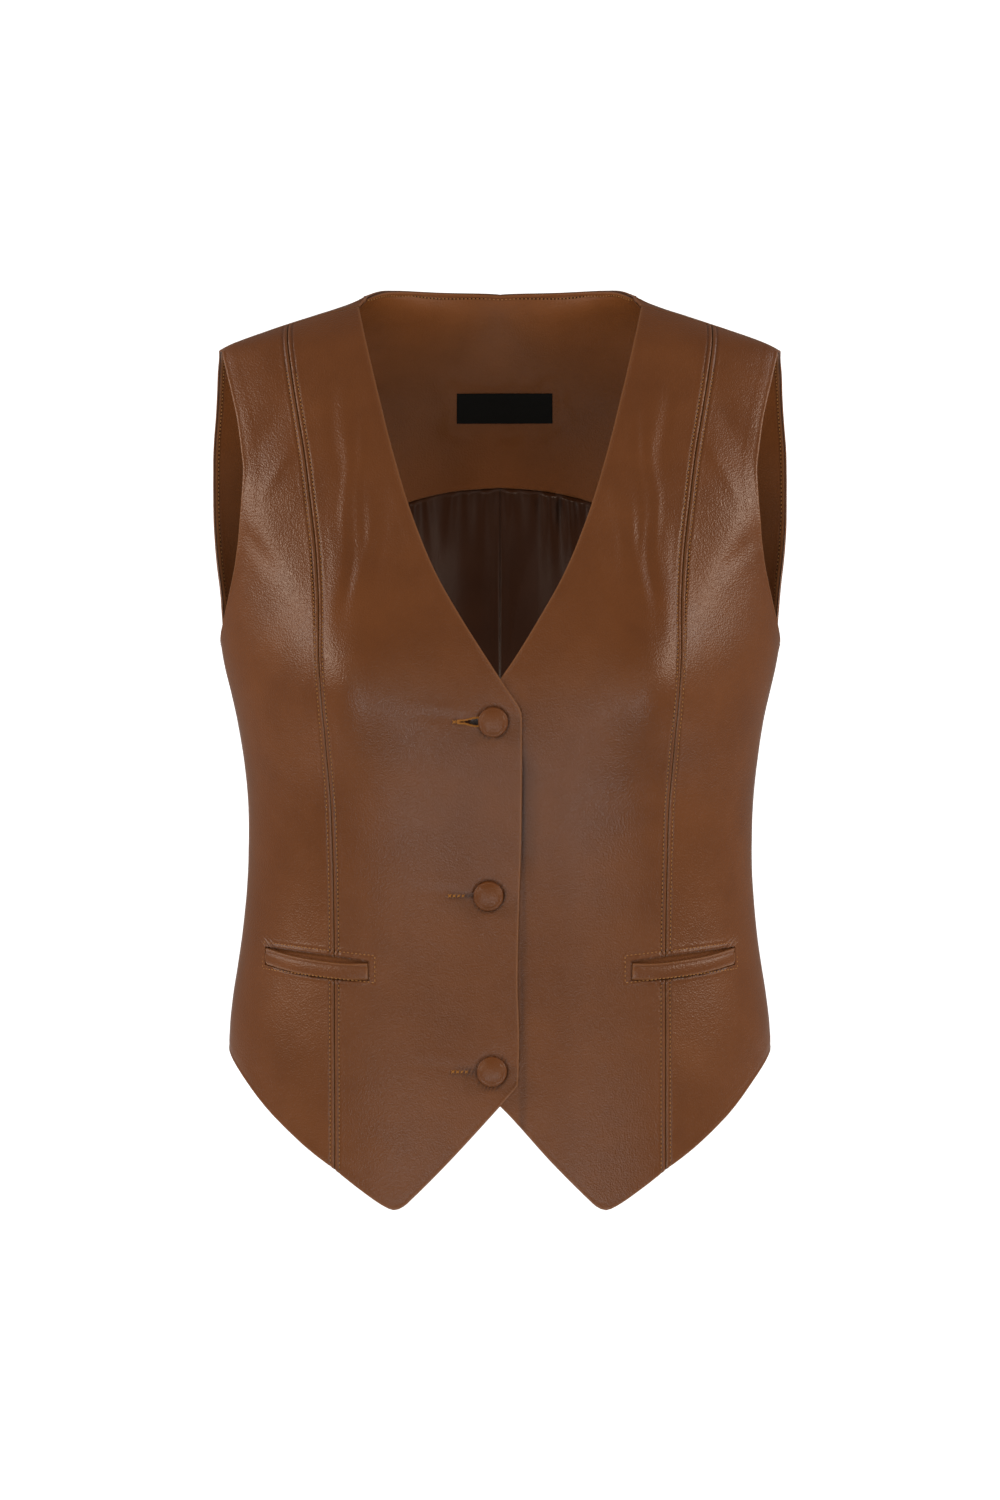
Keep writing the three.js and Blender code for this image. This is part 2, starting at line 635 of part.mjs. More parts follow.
// Part of the back drawn in at its seams, and at the shoulder by a whole gap, as its columns there are coarser than
// the fronts'.
const backDrawnIn = (grid, edges) => drawnIn(drawnIn(grid, edges), ["top"], SEAM_GAP);

// A grid that runs from one side to the other, from the half with x above 0.
const bothSides = (half) => half.map((line) => {
  const other = line.slice(0, -1).map((p) => new THREE.Vector3(-p.x, p.y, p.z));
  return [...other, ...line.slice().reverse().map((p, i) => (i === 0 ? new THREE.Vector3(0, p.y, p.z) : p))];
});

// How far the lower front is pushed in at a point of it, under the upper front's edge.
const underlap = (p) => -UNDERLAP_DROP * (1 - smoothstep(p.x, UNDERLAP_FLAT_X, UNDERLAP_END_X));

// A grid between a lower and an upper line on one front, for the pocket's window, welt and facing.
function pocketGrid(low, high, us, vs, inset) {
  const bottom = curveOn(frontPoints(low));
  const top = curveOn(frontPoints(high));
  const squeeze = (t, length) => inset / length + t * (1 - 2 * inset / length);
  const length = bottom(0).distanceTo(bottom(1));
  return vs.map((v) => us.map((u) => {
    const a = bottom(squeeze(u, length));
    const b = top(squeeze(u, length));
    return settle(a.lerp(b, squeeze(v, a.distanceTo(b))));
  }));
}

function pocketWelt() {
  const grid = pocketGrid(POCKET.bottom, POCKET.weltTop, spaced(10), [0, 0.12, 0.5, 0.86, 1], SEAM_GAP);
  return wall(grid, WELT.thickness, (p, row) => WELT.crown[row]);
}

// The shape that cuts the pocket's window, standing out from the front on both sides.
const pocketWindow = () => {
  const reach = 4;
  return wall(pocketGrid(POCKET.bottom, POCKET.top, spaced(10), [0, 0.5, 1], 0), 2 * reach, reach);
};

function pocketFacing() {
  const grid = pocketGrid(POCKET.bottom, POCKET.top, spaced(8), [0, 0.5, 1], -POCKET_FACING_MARGIN);
  return wall(grid, FACING, -SHELL - 2 * SEAM_GAP);
}

// A slot through the upper front, narrow at its closed end and drawn open where the shank stands in it.
function buttonhole({ x, z }) {
  const right = x + BUTTON.shank + BUTTONHOLE.pastShank;
  const left = right - BUTTONHOLE.length;
  const open = BUTTONHOLE.height / 2;
  const end = BUTTONHOLE.endHeight / 2;
  const outline = new THREE.Shape([
    new THREE.Vector2(left, z - end),
    new THREE.Vector2(left + BUTTONHOLE.widestAt * BUTTONHOLE.length, z - open),
    new THREE.Vector2(right, z - open),
    new THREE.Vector2(right, z + open),
    new THREE.Vector2(left + BUTTONHOLE.widestAt * BUTTONHOLE.length, z + open),
    new THREE.Vector2(left, z + end),
  ]);
  const depth = CUTTER_DEPTH;
  const geometry = new THREE.ExtrudeGeometry(outline, { depth, bevelEnabled: false });
  geometry.rotateX(Math.PI / 2);
  geometry.translate(0, onFront(x, z).y + depth / 2, 0);
  return geometry;
}

// A covered button: a domed cap whose cover is gathered under a round rim, on a shank that stands on the lower front.
function button() {
  const { radius, rim, dome, stand, shank } = BUTTON;
  const foot = -UNDERLAP_DROP + SEAM_GAP;
  const points = [new THREE.Vector2(0, foot), new THREE.Vector2(shank, foot), new THREE.Vector2(shank, stand)];
  const rimCentre = stand + rim;
  for (const angle of between(-90, 70, 4)) {
    const turn = THREE.MathUtils.degToRad(angle);
    points.push(new THREE.Vector2(radius - rim + rim * Math.cos(turn), rimCentre + rim * Math.sin(turn)));
  }
  const edge = radius - rim;
  for (const share of [0.72, 0.4, 0]) {
    points.push(new THREE.Vector2(edge * share, rimCentre + 0.9 * rim + dome * (1 - share * share)));
  }
  return new THREE.LatheGeometry(points, 22);
}

function label() {
  const us = between(-LABEL.width / 2, LABEL.width / 2, 8);
  const vs = between(-LABEL.height / 2, LABEL.height / 2, 2);
  const grid = vs.map((dz) => us.map((dx) => onBack(LABEL.x + dx, LABEL.z + dz)));
  return wall(grid, LABEL.thickness, -SHELL - SEAM_GAP - FACING - LABEL.gap);
}

const LEATHER = { color: "#7a4b2e", roughness: 0.42, metalness: 0 };
const materials = {
  leather: () => new THREE.MeshStandardMaterial({ ...LEATHER, name: "leather" }),
  facing: () => new THREE.MeshStandardMaterial({ ...LEATHER, name: "facing leather" }),
  lining: () => new THREE.MeshStandardMaterial({ color: "#3a2218", roughness: 0.5, name: "satin lining" }),
  label: () => new THREE.MeshStandardMaterial({ color: "#111210", roughness: 0.8, name: "woven label" }),
};

const vest = new THREE.Group();

function add(name, geometry, material) {
  geometry.computeVertexNormals();
  const mesh = new THREE.Mesh(geometry, material());
  mesh.name = name;
  vest.add(mesh);
  return mesh;
}

// The wearer's right front lies on top, so it is the viewer's left and carries the buttonholes.
const pocketHole = pocketWindow();
const upper = mirrored(wall(frontCentre(LAP.wearerRight), SHELL));
const lower = wall(frontCentre(LAP.wearerLeft), SHELL, underlap);
add("front_centre_right", cut(upper, [mirrored(pocketHole), ...BUTTONS.map(buttonhole)]), materials.leather);
add("front_centre_left", cut(lower, [pocketHole]), materials.leather);

const side = cut(wall(frontSide(), SHELL), [pocketHole]);
add("front_side_right", mirrored(side), materials.leather);
add("front_side_left", side, materials.leather);

const back = wall(backDrawnIn([...backBelow, ...backAbove.slice(1)], ["left", "right"]), SHELL);
add("back_right", mirrored(back), materials.leather);
add("back_left", back, materials.leather);
const facing = bothSides(backDrawnIn(backAbove, ["left", "bottom"]));
add("back_facing", wall(facing, FACING, -SHELL - SEAM_GAP), materials.facing);

const lining = wall(drawnIn(backBelow.slice(1), ["left", "right", "top"]), FACING, -SHELL - SEAM_GAP);
add("back_lining_right", mirrored(lining), materials.lining);
add("back_lining_left", lining, materials.lining);
add("neck_label", label(), materials.label);

const welt = pocketWelt();
add("pocket_welt_right", mirrored(welt), materials.leather);
add("pocket_welt_left", welt, materials.leather);
const strip = pocketFacing();
add("pocket_facing_right", mirrored(strip), materials.facing);
add("pocket_facing_left", strip, materials.facing);

for (const { name, x, z } of BUTTONS) {
  const seat = onFront(x, z);
  const mesh = add(name, button(), materials.leather);
  mesh.quaternion.setFromUnitVectors(new THREE.Vector3(0, 1, 0), outward(seat));
  mesh.position.copy(seat);
}

export default vest;
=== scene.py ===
"""A fitted waistcoat in smooth faux leather, hollow as it is worn, with covered buttons, welt pockets,
topstitched princess seams, a leather facing and a satin lining.

Sizes are millimetres in the frame of the construction: +Z up, +X the viewer's right, the fronts face -Y and
the origin lies midway between the neck points. They become metres only when a mesh is written.
"""
import logging
import math
from dataclasses import dataclass, field
from enum import Enum
from typing import Callable, Sequence

import bpy
import numpy as np
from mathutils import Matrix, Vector


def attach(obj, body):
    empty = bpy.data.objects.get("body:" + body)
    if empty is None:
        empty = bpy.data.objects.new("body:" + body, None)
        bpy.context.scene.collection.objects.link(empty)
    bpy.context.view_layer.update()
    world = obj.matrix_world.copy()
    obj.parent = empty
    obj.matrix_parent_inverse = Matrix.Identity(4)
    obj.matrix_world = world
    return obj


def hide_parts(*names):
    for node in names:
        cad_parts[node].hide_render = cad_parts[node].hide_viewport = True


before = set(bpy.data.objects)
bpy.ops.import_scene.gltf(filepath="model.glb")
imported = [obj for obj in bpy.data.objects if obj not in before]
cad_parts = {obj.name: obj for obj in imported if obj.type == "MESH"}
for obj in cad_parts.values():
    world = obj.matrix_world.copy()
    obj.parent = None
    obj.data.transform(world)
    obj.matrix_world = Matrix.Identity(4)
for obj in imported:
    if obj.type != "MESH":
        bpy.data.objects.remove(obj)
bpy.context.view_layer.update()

log = logging.getLogger("waistcoat")
MM = 0.001
Array = np.ndarray
Curve = Callable[[Array], Array]

SHELL = 1.4  # thickness of the outer cloth
FACING = 1.0  # thickness of the facing
SEAM_GAP = 0.3  # between a panel and what lies inside it
NORMAL_REACH = 5.0  # over which the body's normals are taken
SHARP_DEGREES = 50  # from which a carved edge is shaded sharp
PHOTO_SIZE = (1000, 1500)  # pixels


@dataclass(frozen=True)
class Section:
    """One level section of the body that fills the garment out: half widths, depths and corner powers."""

    z: float
    half: float
    back_half: float
    front: float
    back: float
    front_power: float
    back_power: float


SECTIONS = (
    Section(-590, 166.2, 166.2, 111, 100, 2.3, 2.35),
    Section(-530, 168.2, 168.2, 110, 100, 2.3, 2.35),
    Section(-480, 170.2, 170.2, 107, 99, 2.3, 2.35),
    Section(-463, 171, 171, 105, 97, 2.3, 2.35),
    Section(-445, 169.2, 169.2, 103, 93, 2.3, 2.35),
    Section(-405, 163, 163, 99, 82, 2.3, 2.35),
    Section(-378, 159.8, 159.8, 98, 75, 2.3, 2.35),
    Section(-348, 158, 158, 100, 71, 2.3, 2.35),
    Section(-318, 158.6, 158.6, 104, 74, 2.3, 2.35),
    Section(-287, 162.2, 162.2, 110, 81, 2.3, 2.35),
    Section(-251, 168.5, 168.5, 112, 91, 2.3, 2.35),
    Section(-232, 174, 174, 110, 95, 2.3, 2.35),
    Section(-214, 176.7, 176.7, 106, 97, 2.3, 2.35),
    Section(-190, 177, 184.2, 100, 98, 2.3, 2.35),
    Section(-165, 179.8, 195.2, 93, 98, 2.3, 2.35),
    Section(-130, 188, 204.2, 83, 95, 2.3, 2.35),
    Section(-95, 194, 204.6, 69, 90, 2.2, 2.3),
    Section(-60, 192, 192, 54, 84, 2.1, 2.0),
    Section(-40, 184.8, 184.8, 45, 79, 2.0, 1.6),
    Section(-30, 175.8, 175.8, 39, 76, 2.0, 1.45),
    Section(-20, 148, 148, 32, 73, 2.0, 1.37),
    Section(-10, 118, 118, 23, 70, 2.0, 1.35),
    Section(-5, 103, 103, 17, 68, 2.0, 1.37),
    Section(0, 89, 89, 10, 66, 2.0, 1.45),
    Section(5, 83, 83, 7, 64, 2.0, 1.6),
    Section(10, 79, 79, 5, 62, 2.0, 1.8),
    Section(20, 72, 72, 4, 58, 2.0, 1.9),
)


def smoothstep(x: Array | float, low: float, high: float) -> Array:
    """0 below low, 1 above high, and a smooth cubic between."""
    t = np.clip((np.asarray(x, float) - low) / (high - low), 0, 1)
    return t * t * (3 - 2 * t)


def bell(x: Array, width: float) -> Array:
    """A Gaussian of height 1: e to the minus (x over width) squared."""
    return np.exp(-((x / width) ** 2))


def ripple(p: Array, length: float, seed: int, waves: int = 7) -> Array:
    """Smooth uneven noise from about -1 to 1 over points.

    The sum of sines in random directions, their wave lengths spread round the one given.

    Args:
        p: points, in millimetres.
        length: the middle wave length, in millimetres.
        seed: which noise.
        waves: how many sines.
    Returns:
        One value a point.
    """
    rng = np.random.default_rng(seed)
    total = np.zeros(p.shape[:-1])
    for _ in range(waves):
        way = rng.normal(size=3)
        way *= 2 * math.pi / (length * rng.uniform(0.6, 1.7) * np.linalg.norm(way))
        total += np.sin(p @ way + rng.uniform(0, 2 * math.pi))
    return total / math.sqrt(waves)


class BodyForm:
    """The surface that the cloth lies on: a superellipse in each level section, the bust a shift in y."""

    BUST_X, BUST_Z, BUST_DEPTH, BUST_WIDE = 92.0, -243.0, 20.0, 40.0
    BUST_ABOVE, BUST_BELOW = 58.0, 46.0  # its reach above and below its middle
    BUST_FADE = 45.0  # it fades out from this depth to the middle plane
    SOFT_X_SQUARED, SOFT_Y_SQUARED = 100.0, 9.0  # round the crease where x or y changes sign
    BLUR_SHOULDER, BLUR_BODY = 3, 12  # the sections' blur, changing between these depths below the neck
    BLUR_FROM, BLUR_TO = 30, 150

    def __init__(self, sections: Sequence[Section]) -> None:
        """Reads the sections into one value a millimetre for each column."""
        self.low = sections[0].z
        self.levels = np.arange(self.low, sections[-1].z + 1)
        names = ("half", "back_half", "front", "back", "front_power", "back_power")
        rows = np.array([s.z for s in sections], float)
        self.columns = {n: self._blurred(rows, np.array([getattr(s, n) for s in sections])) for n in names}

    @staticmethod
    def _monotone(rows: Array, values: Array, at: Array) -> Array:
        """A monotone cubic through the rows, whose tangents are weighted harmonic means of the slopes."""
        steps = np.diff(rows)
        slopes = np.diff(values) / steps
        tangents = np.concatenate([slopes[:1], np.zeros(len(slopes) - 1), slopes[-1:]])
        before, after = 2 * steps[1:] + steps[:-1], steps[1:] + 2 * steps[:-1]
        same = slopes[:-1] * slopes[1:] > 0
        low = np.where(same, slopes[:-1], 1)
        high = np.where(same, slopes[1:], 1)
        tangents[1:-1] = np.where(same, (before + after) / (before / low + after / high), 0)
        at = np.clip(at, rows[0], rows[-1])
        i = np.clip(np.searchsorted(rows, at, side="left") - 1, 0, len(steps) - 1)
        t = (at - rows[i]) / steps[i]
        rise = values[i + 1] - values[i]
        bend0 = tangents[i] * steps[i] - rise
        bend1 = rise - tangents[i + 1] * steps[i]
        return values[i] + t * rise + t * (1 - t) * ((1 - t) * bend0 + t * bend1)

    def _blurred(self, rows: Array, values: Array) -> Array:
        """The cubic, blurred by a Gaussian that is narrow at the shoulders and wide below the chest."""
        change = smoothstep(-self.levels, self.BLUR_FROM, self.BLUR_TO)
        blur = self.BLUR_SHOULDER + (self.BLUR_BODY - self.BLUR_SHOULDER) * change
        offsets = (np.arange(13) - 6) / 2
        weights = np.exp(-offsets**2 / 2)
        samples = self._monotone(rows, values, self.levels[:, None] + offsets * blur[:, None])
        return samples @ weights / weights.sum()

    def size(self, name: str, z: Array) -> Array:
        """One column of the sections at the heights z."""
        return np.interp(z, self.levels, self.columns[name])

    def section(self, y: Array, z: Array) -> tuple[Array, Array, Array]:
        """The half width, depth and corner power of the front or the back at the height z."""
        return tuple(np.where(y < 0, self.size(front, z), self.size(back, z)) for front, back in
                     (("half", "back_half"), ("front", "back"), ("front_power", "back_power")))

    def bust(self, x: Array, z: Array) -> Array:
        """How far the bust stands forward: a Gaussian on each side, longer above than below."""
        along = (z - self.BUST_Z) / np.where(z > self.BUST_Z, self.BUST_ABOVE, self.BUST_BELOW)
        across = (np.abs(x) - self.BUST_X) / self.BUST_WIDE
        return self.BUST_DEPTH * np.exp(-(across**2) - along**2)

    def level(self, p: Array) -> Array:
        """0 on the surface, above 0 outside: (|x|/half)^n + (|y|/depth)^n, to the 1/n, less 1."""
        x, y, z = p[..., 0], p[..., 1], p[..., 2]
        half, deep, power = self.section(y, z)
        bust = self.bust(x, z) * smoothstep(-y, 0, self.BUST_FADE)
        across = np.sqrt(x * x + self.SOFT_X_SQUARED) / half
        through = np.sqrt((y + bust) ** 2 + self.SOFT_Y_SQUARED) / deep
        return (across**power + through**power) ** (1 / power) - 1

    def gradient(self, p: Array, reach: float = 0.05) -> Array:
        """Central differences of the level over the given reach."""
        out = np.empty_like(p)
        for axis in range(3):
            step = np.zeros(3)
            step[axis] = reach
            out[..., axis] = (self.level(p + step) - self.level(p - step)) / (2 * reach)
        return out

    def settle(self, p: Array, way: Array | None = None, steps: int = 8) -> Array:
        """Newton steps along the gradient, or along the way given, until the points lie on the surface."""
        q = np.array(p, float)
        for _ in range(steps):
            slope = self.gradient(q)
            along = slope if way is None else way
            q -= along * (self.level(q) / np.sum(slope * along, axis=-1))[..., None]
        return q

    def outward(self, p: Array) -> Array:
        """Unit normals, taken over a few millimetres so that they turn smoothly over the shoulder ridge."""
        slope = self.gradient(p, NORMAL_REACH)
        return slope / np.linalg.norm(slope, axis=-1, keepdims=True)

    def _on(self, share: Array, power: Array) -> Array:
        return (1 - np.clip(share, 0, 1) ** power) ** (1 / power)

    def front(self, x: Array | float, z: Array | float) -> Array:
        """Points of the front at x and z."""
        x, z = np.broadcast_arrays(np.asarray(x, float), np.asarray(z, float))
        y = -self.size("front", z) * self._on(np.abs(x) / self.size("half", z), self.size("front_power", z))
        return self.settle(np.stack([x, y - self.bust(x, z), z], -1))

    def back(self, x: Array | float, z: Array | float) -> Array:
        """Points of the back at x and z."""
        x, z = np.broadcast_arrays(np.asarray(x, float), np.asarray(z, float))
        share = np.abs(x) / self.size("back_half", z)
        y = self.size("back", z) * self._on(share, self.size("back_power", z))
        return self.settle(np.stack([x, y, z], -1))

    def side(self, y: Array | float, z: Array | float) -> Array:
        """Points of the side at y and z, on the half with x above 0."""
        y, z = np.broadcast_arrays(np.asarray(y, float), np.asarray(z, float))
        half, deep, power = self.section(y, z)
        return self.settle(np.stack([half * self._on(np.abs(y) / deep, power), y, z], -1))


BODY = BodyForm(SECTIONS)


class Line:
    """A centripetal Catmull-Rom curve through points, settled on the body, run through by arc length."""

    SAMPLES = 60

    def __init__(self, points: Array) -> None:
        """Samples the curve through the points."""
        p = np.asarray(points, float)
        if len(p) == 2:
            p = np.linspace(p[0], p[1], 8)
        padded = np.vstack([2 * p[0] - p[1], p, 2 * p[-1] - p[-2]])
        t = np.linspace(0, 1, self.SAMPLES, endpoint=False)[:, None]
        pieces = []
        for a, b, c, d in zip(padded, padded[1:], padded[2:], padded[3:]):
            before, here, after = (max(1e-4, math.sqrt(np.linalg.norm(e))) for e in (b - a, c - b, d - c))
            start = ((b - a) / before - (c - a) / (before + here) + (c - b) / here) * here
            end = ((c - b) / here - (d - b) / (here + after) + (d - c) / after) * here
            rise = c - b
            square, cube = 3 * rise - 2 * start - end, start + end - 2 * rise
            pieces.append(b + start * t + square * t**2 + cube * t**3)
        self.points = BODY.settle(np.vstack(pieces + [p[-1:]]))
        lengths = np.linalg.norm(np.diff(self.points, axis=0), axis=1)
        self.length = float(lengths.sum())
        self.at = np.concatenate([[0], np.cumsum(lengths)]) / self.length

    def __call__(self, t: Array | float) -> Array:
        """Points at fractions t of the length."""
        t = np.clip(np.asarray(t, float), 0, 1)
        return np.stack([np.interp(t, self.at, self.points[:, k]) for k in range(3)], -1)


def chain(first: Curve, second: Curve, joint: float) -> Curve:
    """Two curves one after the other, the first up to the fraction joint."""

    def run(t: Array | float) -> Array:
        t = np.asarray(t, float)
        return np.where((t <= joint)[..., None], first(t / joint), second((t - joint) / (1 - joint)))

    return run


def part_of(curve: Curve, start: float, end: float) -> Curve:
    """A stretch of a curve, from fraction start to fraction end."""
    return lambda t: curve(start + np.asarray(t, float) * (end - start))


@dataclass(frozen=True)
class Cut:
    """The garment's cut lines on the half with x above 0, as rows of two coordinates each."""

    front_edge: tuple = (
        (-10.9, -486.4), (-11.3, -478), (-11.6, -453), (-10.7, -427), (-11.8, -374), (-12.8, -344),
        (-13.3, -301), (-13.3, -264),
    )
    neck_edge: tuple = (
        (-13.3, -264), (-12.4, -259.5), (0, -240.4), (24.1, -202.4), (40.0, -173.6), (54.8, -136.5),
        (66.2, -98.5), (74.9, -64.3), (83.9, -26.5),
    )
    princess: tuple = (
        (100.5, -538.4), (100.6, -479), (101.4, -401), (101.8, -375), (102.6, -339.5), (104.6, -299.8),
        (107.3, -266.9), (109.2, -242), (110.2, -205), (111.7, -174.4), (115.3, -139.9), (119.9, -104.9),
        (126.2, -69.3), (130.3, -44.8),
    )
    centre_hem: tuple = (
        (-10.9, -486.4), (0, -498.8), (31.9, -533.4), (53.7, -555.3), (58.6, -559.7), (64.0, -561.8),
        (70.1, -559.7), (86.6, -548.9),
    )
    side_hem: tuple = (
        (-86.8, -528.3), (-76.1, -514.7), (-63.3, -501.1), (-48.5, -487.5), (-33, -478.2), (-18, -472.8),
        (0, -469.8), (10, -469),
    )
    front_armhole: tuple = (
        (10, -217.5), (-4, -216.5), (-19, -211), (-31, -200.8), (-39, -187), (-45.5, -168), (-49, -146),
        (-49.3, -128), (-46.9, -110.9), (-42.5, -96.7), (-37, -81.7), (-31.3, -68.1), (-22.1, -49.9),
        (-12.6, -36.4), (-8, -32.5),
    )
    back_armhole: tuple = (
        (10, -217.5), (20, -209.5), (29, -196.5), (38, -180), (46, -155.3), (48.8, -129.4), (46.8, -102),
        (41, -80), (29, -60.5), (16, -44), (7, -35), (0, -31.8), (-8, -32.5),
    )
    back_neck: tuple = ((82.8, 4.6), (76, 7.8), (66.8, 9.3), (38.5, 10.4), (0, 10.6))
    back_hem: tuple = ((120, -470), (60, -471.5), (0, -472))
    facing_hem: tuple = (
        (150.5, -222), (143, -190), (127, -162), (98, -139), (60.7, -122.4), (30, -115), (0, -112.5),
    )
    side_y: float = 10.0
    side_hem_z: float = -469.0
    armpit_z: float = -217.5
    facing_side_z: float = -242.0
    shoulder_y: float = -8.0
    tip_z: float = -32.5
    neck_point_z: float = -4.6
    shoulder_split: float = 0.505  # where the princess seam meets the shoulder, from the neck point
    neck_start: float = 0.46  # where the neck edge starts in a centre front's inner edge
    armpit_at: float = 0.55  # where the armhole starts in a side front's outer edge
    shoulder_from: float = 0.46  # the shoulder's ends in the top edge of the back
    shoulder_to: float = 0.74
    hem_at_tip: float = 0.7  # the places in the back's lower edges that face those ends
    hem_at_neck: float = 0.88


LAP_EASE = 12  # past the centre, over which a lap comes in


class Seams:
    """The curves that neighbouring pieces share, on the half with x above 0."""

    def __init__(self, cut: Cut) -> None:
        """Runs each row of the cut along the body."""
        self.cut = cut
        self.shoulder = Line(BODY.side(cut.shoulder_y, np.linspace(cut.tip_z, cut.neck_point_z, 11)))
        self.neck_point = self.shoulder(1.0)
        split = self.shoulder(1 - cut.shoulder_split)
        self.princess = Line(np.vstack([self._front(cut.princess), split]))
        self.side = self.side_seam(cut.side_hem_z, cut.armpit_z)
        self.front_armhole = Line(self._side(cut.front_armhole))
        self.back_armhole = Line(self._side(cut.back_armhole))
        self.back_neck = Line(np.vstack([self.neck_point, self._back(cut.back_neck)]))
        self.facing_hem = self.facing_up(Line(np.vstack([
            BODY.side(cut.side_y, cut.facing_side_z), self._back(cut.facing_hem)])))
        self.back_hem = self.facing_up(Line(np.vstack([
            BODY.side(cut.side_y, cut.side_hem_z), self._back(cut.back_hem)])))

    @staticmethod
    def _front(rows: Sequence) -> Array:
        return BODY.front(*np.array(rows, float).T)

    @staticmethod
    def _back(rows: Sequence) -> Array:
        return BODY.back(*np.array(rows, float).T)

    @staticmethod
    def _side(rows: Sequence) -> Array:
        return BODY.side(*np.array(rows, float).T)

    def _lapped(self, rows: Sequence, lap: float) -> Array:
        """Front rows, drawn lap further over the centre where they are past it."""
        return self._front([(x - lap * float(smoothstep(-x, 0, LAP_EASE)) if x < 0 else x, z)
                            for x, z in rows])

    def front_edge(self, lap: float) -> Curve:
        """The front edge and the neck edge, the front edge reaching lap further over the centre."""
        neck = np.vstack([self._lapped(self.cut.neck_edge, lap), self.neck_point])
        return chain(Line(self._lapped(self.cut.front_edge, lap)), Line(neck), self.cut.neck_start)

    def centre_hem(self, lap: float) -> Curve:
        """The pointed hem of a centre front."""
        return Line(np.vstack([self._lapped(self.cut.centre_hem, lap), self.princess(0.0)]))

    def side_hem(self) -> Curve:
        """The hem of a side front."""
        return Line(np.vstack([self.princess(0.0), self._side(self.cut.side_hem)]))

    def side_seam(self, low: float, high: float) -> Line:
        """The side seam between two heights."""
        return Line(BODY.side(self.cut.side_y, np.linspace(low, high, 13)))

    def centre_back(self, low: float, high: float) -> Line:
        """The centre back line between two heights."""
        return Line(BODY.back(0.0, np.linspace(low, high, 13)))

    def facing_up(self, curve: Curve) -> Curve:
        """A lower edge of the back, run so that its points face the armhole, shoulder and neck above."""
        knots = (0, self.cut.shoulder_from, self.cut.shoulder_to, 1)
        shares = (0, self.cut.hem_at_tip, self.cut.hem_at_neck, 1)
        return lambda u: curve(np.interp(u, knots, shares))


def coons(left: Curve, right: Curve, bottom: Curve, top: Curve, u: Array, v: Array,
          heart: Array | None = None) -> Array:
    """A Coons patch on the body.

    The blend of the left and right edges by u, plus that of the bottom and top by v, less that of the corners
    by both. With a heart the blend is of the lines of sight from that inner point.

    Args:
        left, right, bottom, top: its edges, run from left to right and from the bottom up.
        u, v: fractions across and up, of one shape.
        heart: a point inside the body, where the patch crosses the shoulder ridge.
    Returns:
        The points, shaped as u with 3 coordinates.
    """
    def seen(p: Array) -> Array:
        if heart is None:
            return p
        ray = p - heart
        return ray / np.linalg.norm(ray, axis=-1, keepdims=True)

    lefts, rights, bottoms, tops = (seen(c) for c in (left(v), right(v), bottom(u), top(u)))
    u, v = u[..., None], v[..., None]
    low = (1 - u) * seen(left(0.0)) + u * seen(right(0.0))
    high = (1 - u) * seen(left(1.0)) + u * seen(right(1.0))
    inside = (1 - u) * lefts + u * rights + (1 - v) * bottoms + v * tops - (1 - v) * low - v * high
    if heart is None:
        return BODY.settle(inside)
    sight = inside / np.linalg.norm(inside, axis=-1, keepdims=True)
    far = np.linalg.norm(top(u[..., 0]) - heart, axis=-1, keepdims=True)
    return BODY.settle(heart + sight * far, sight, steps=14)


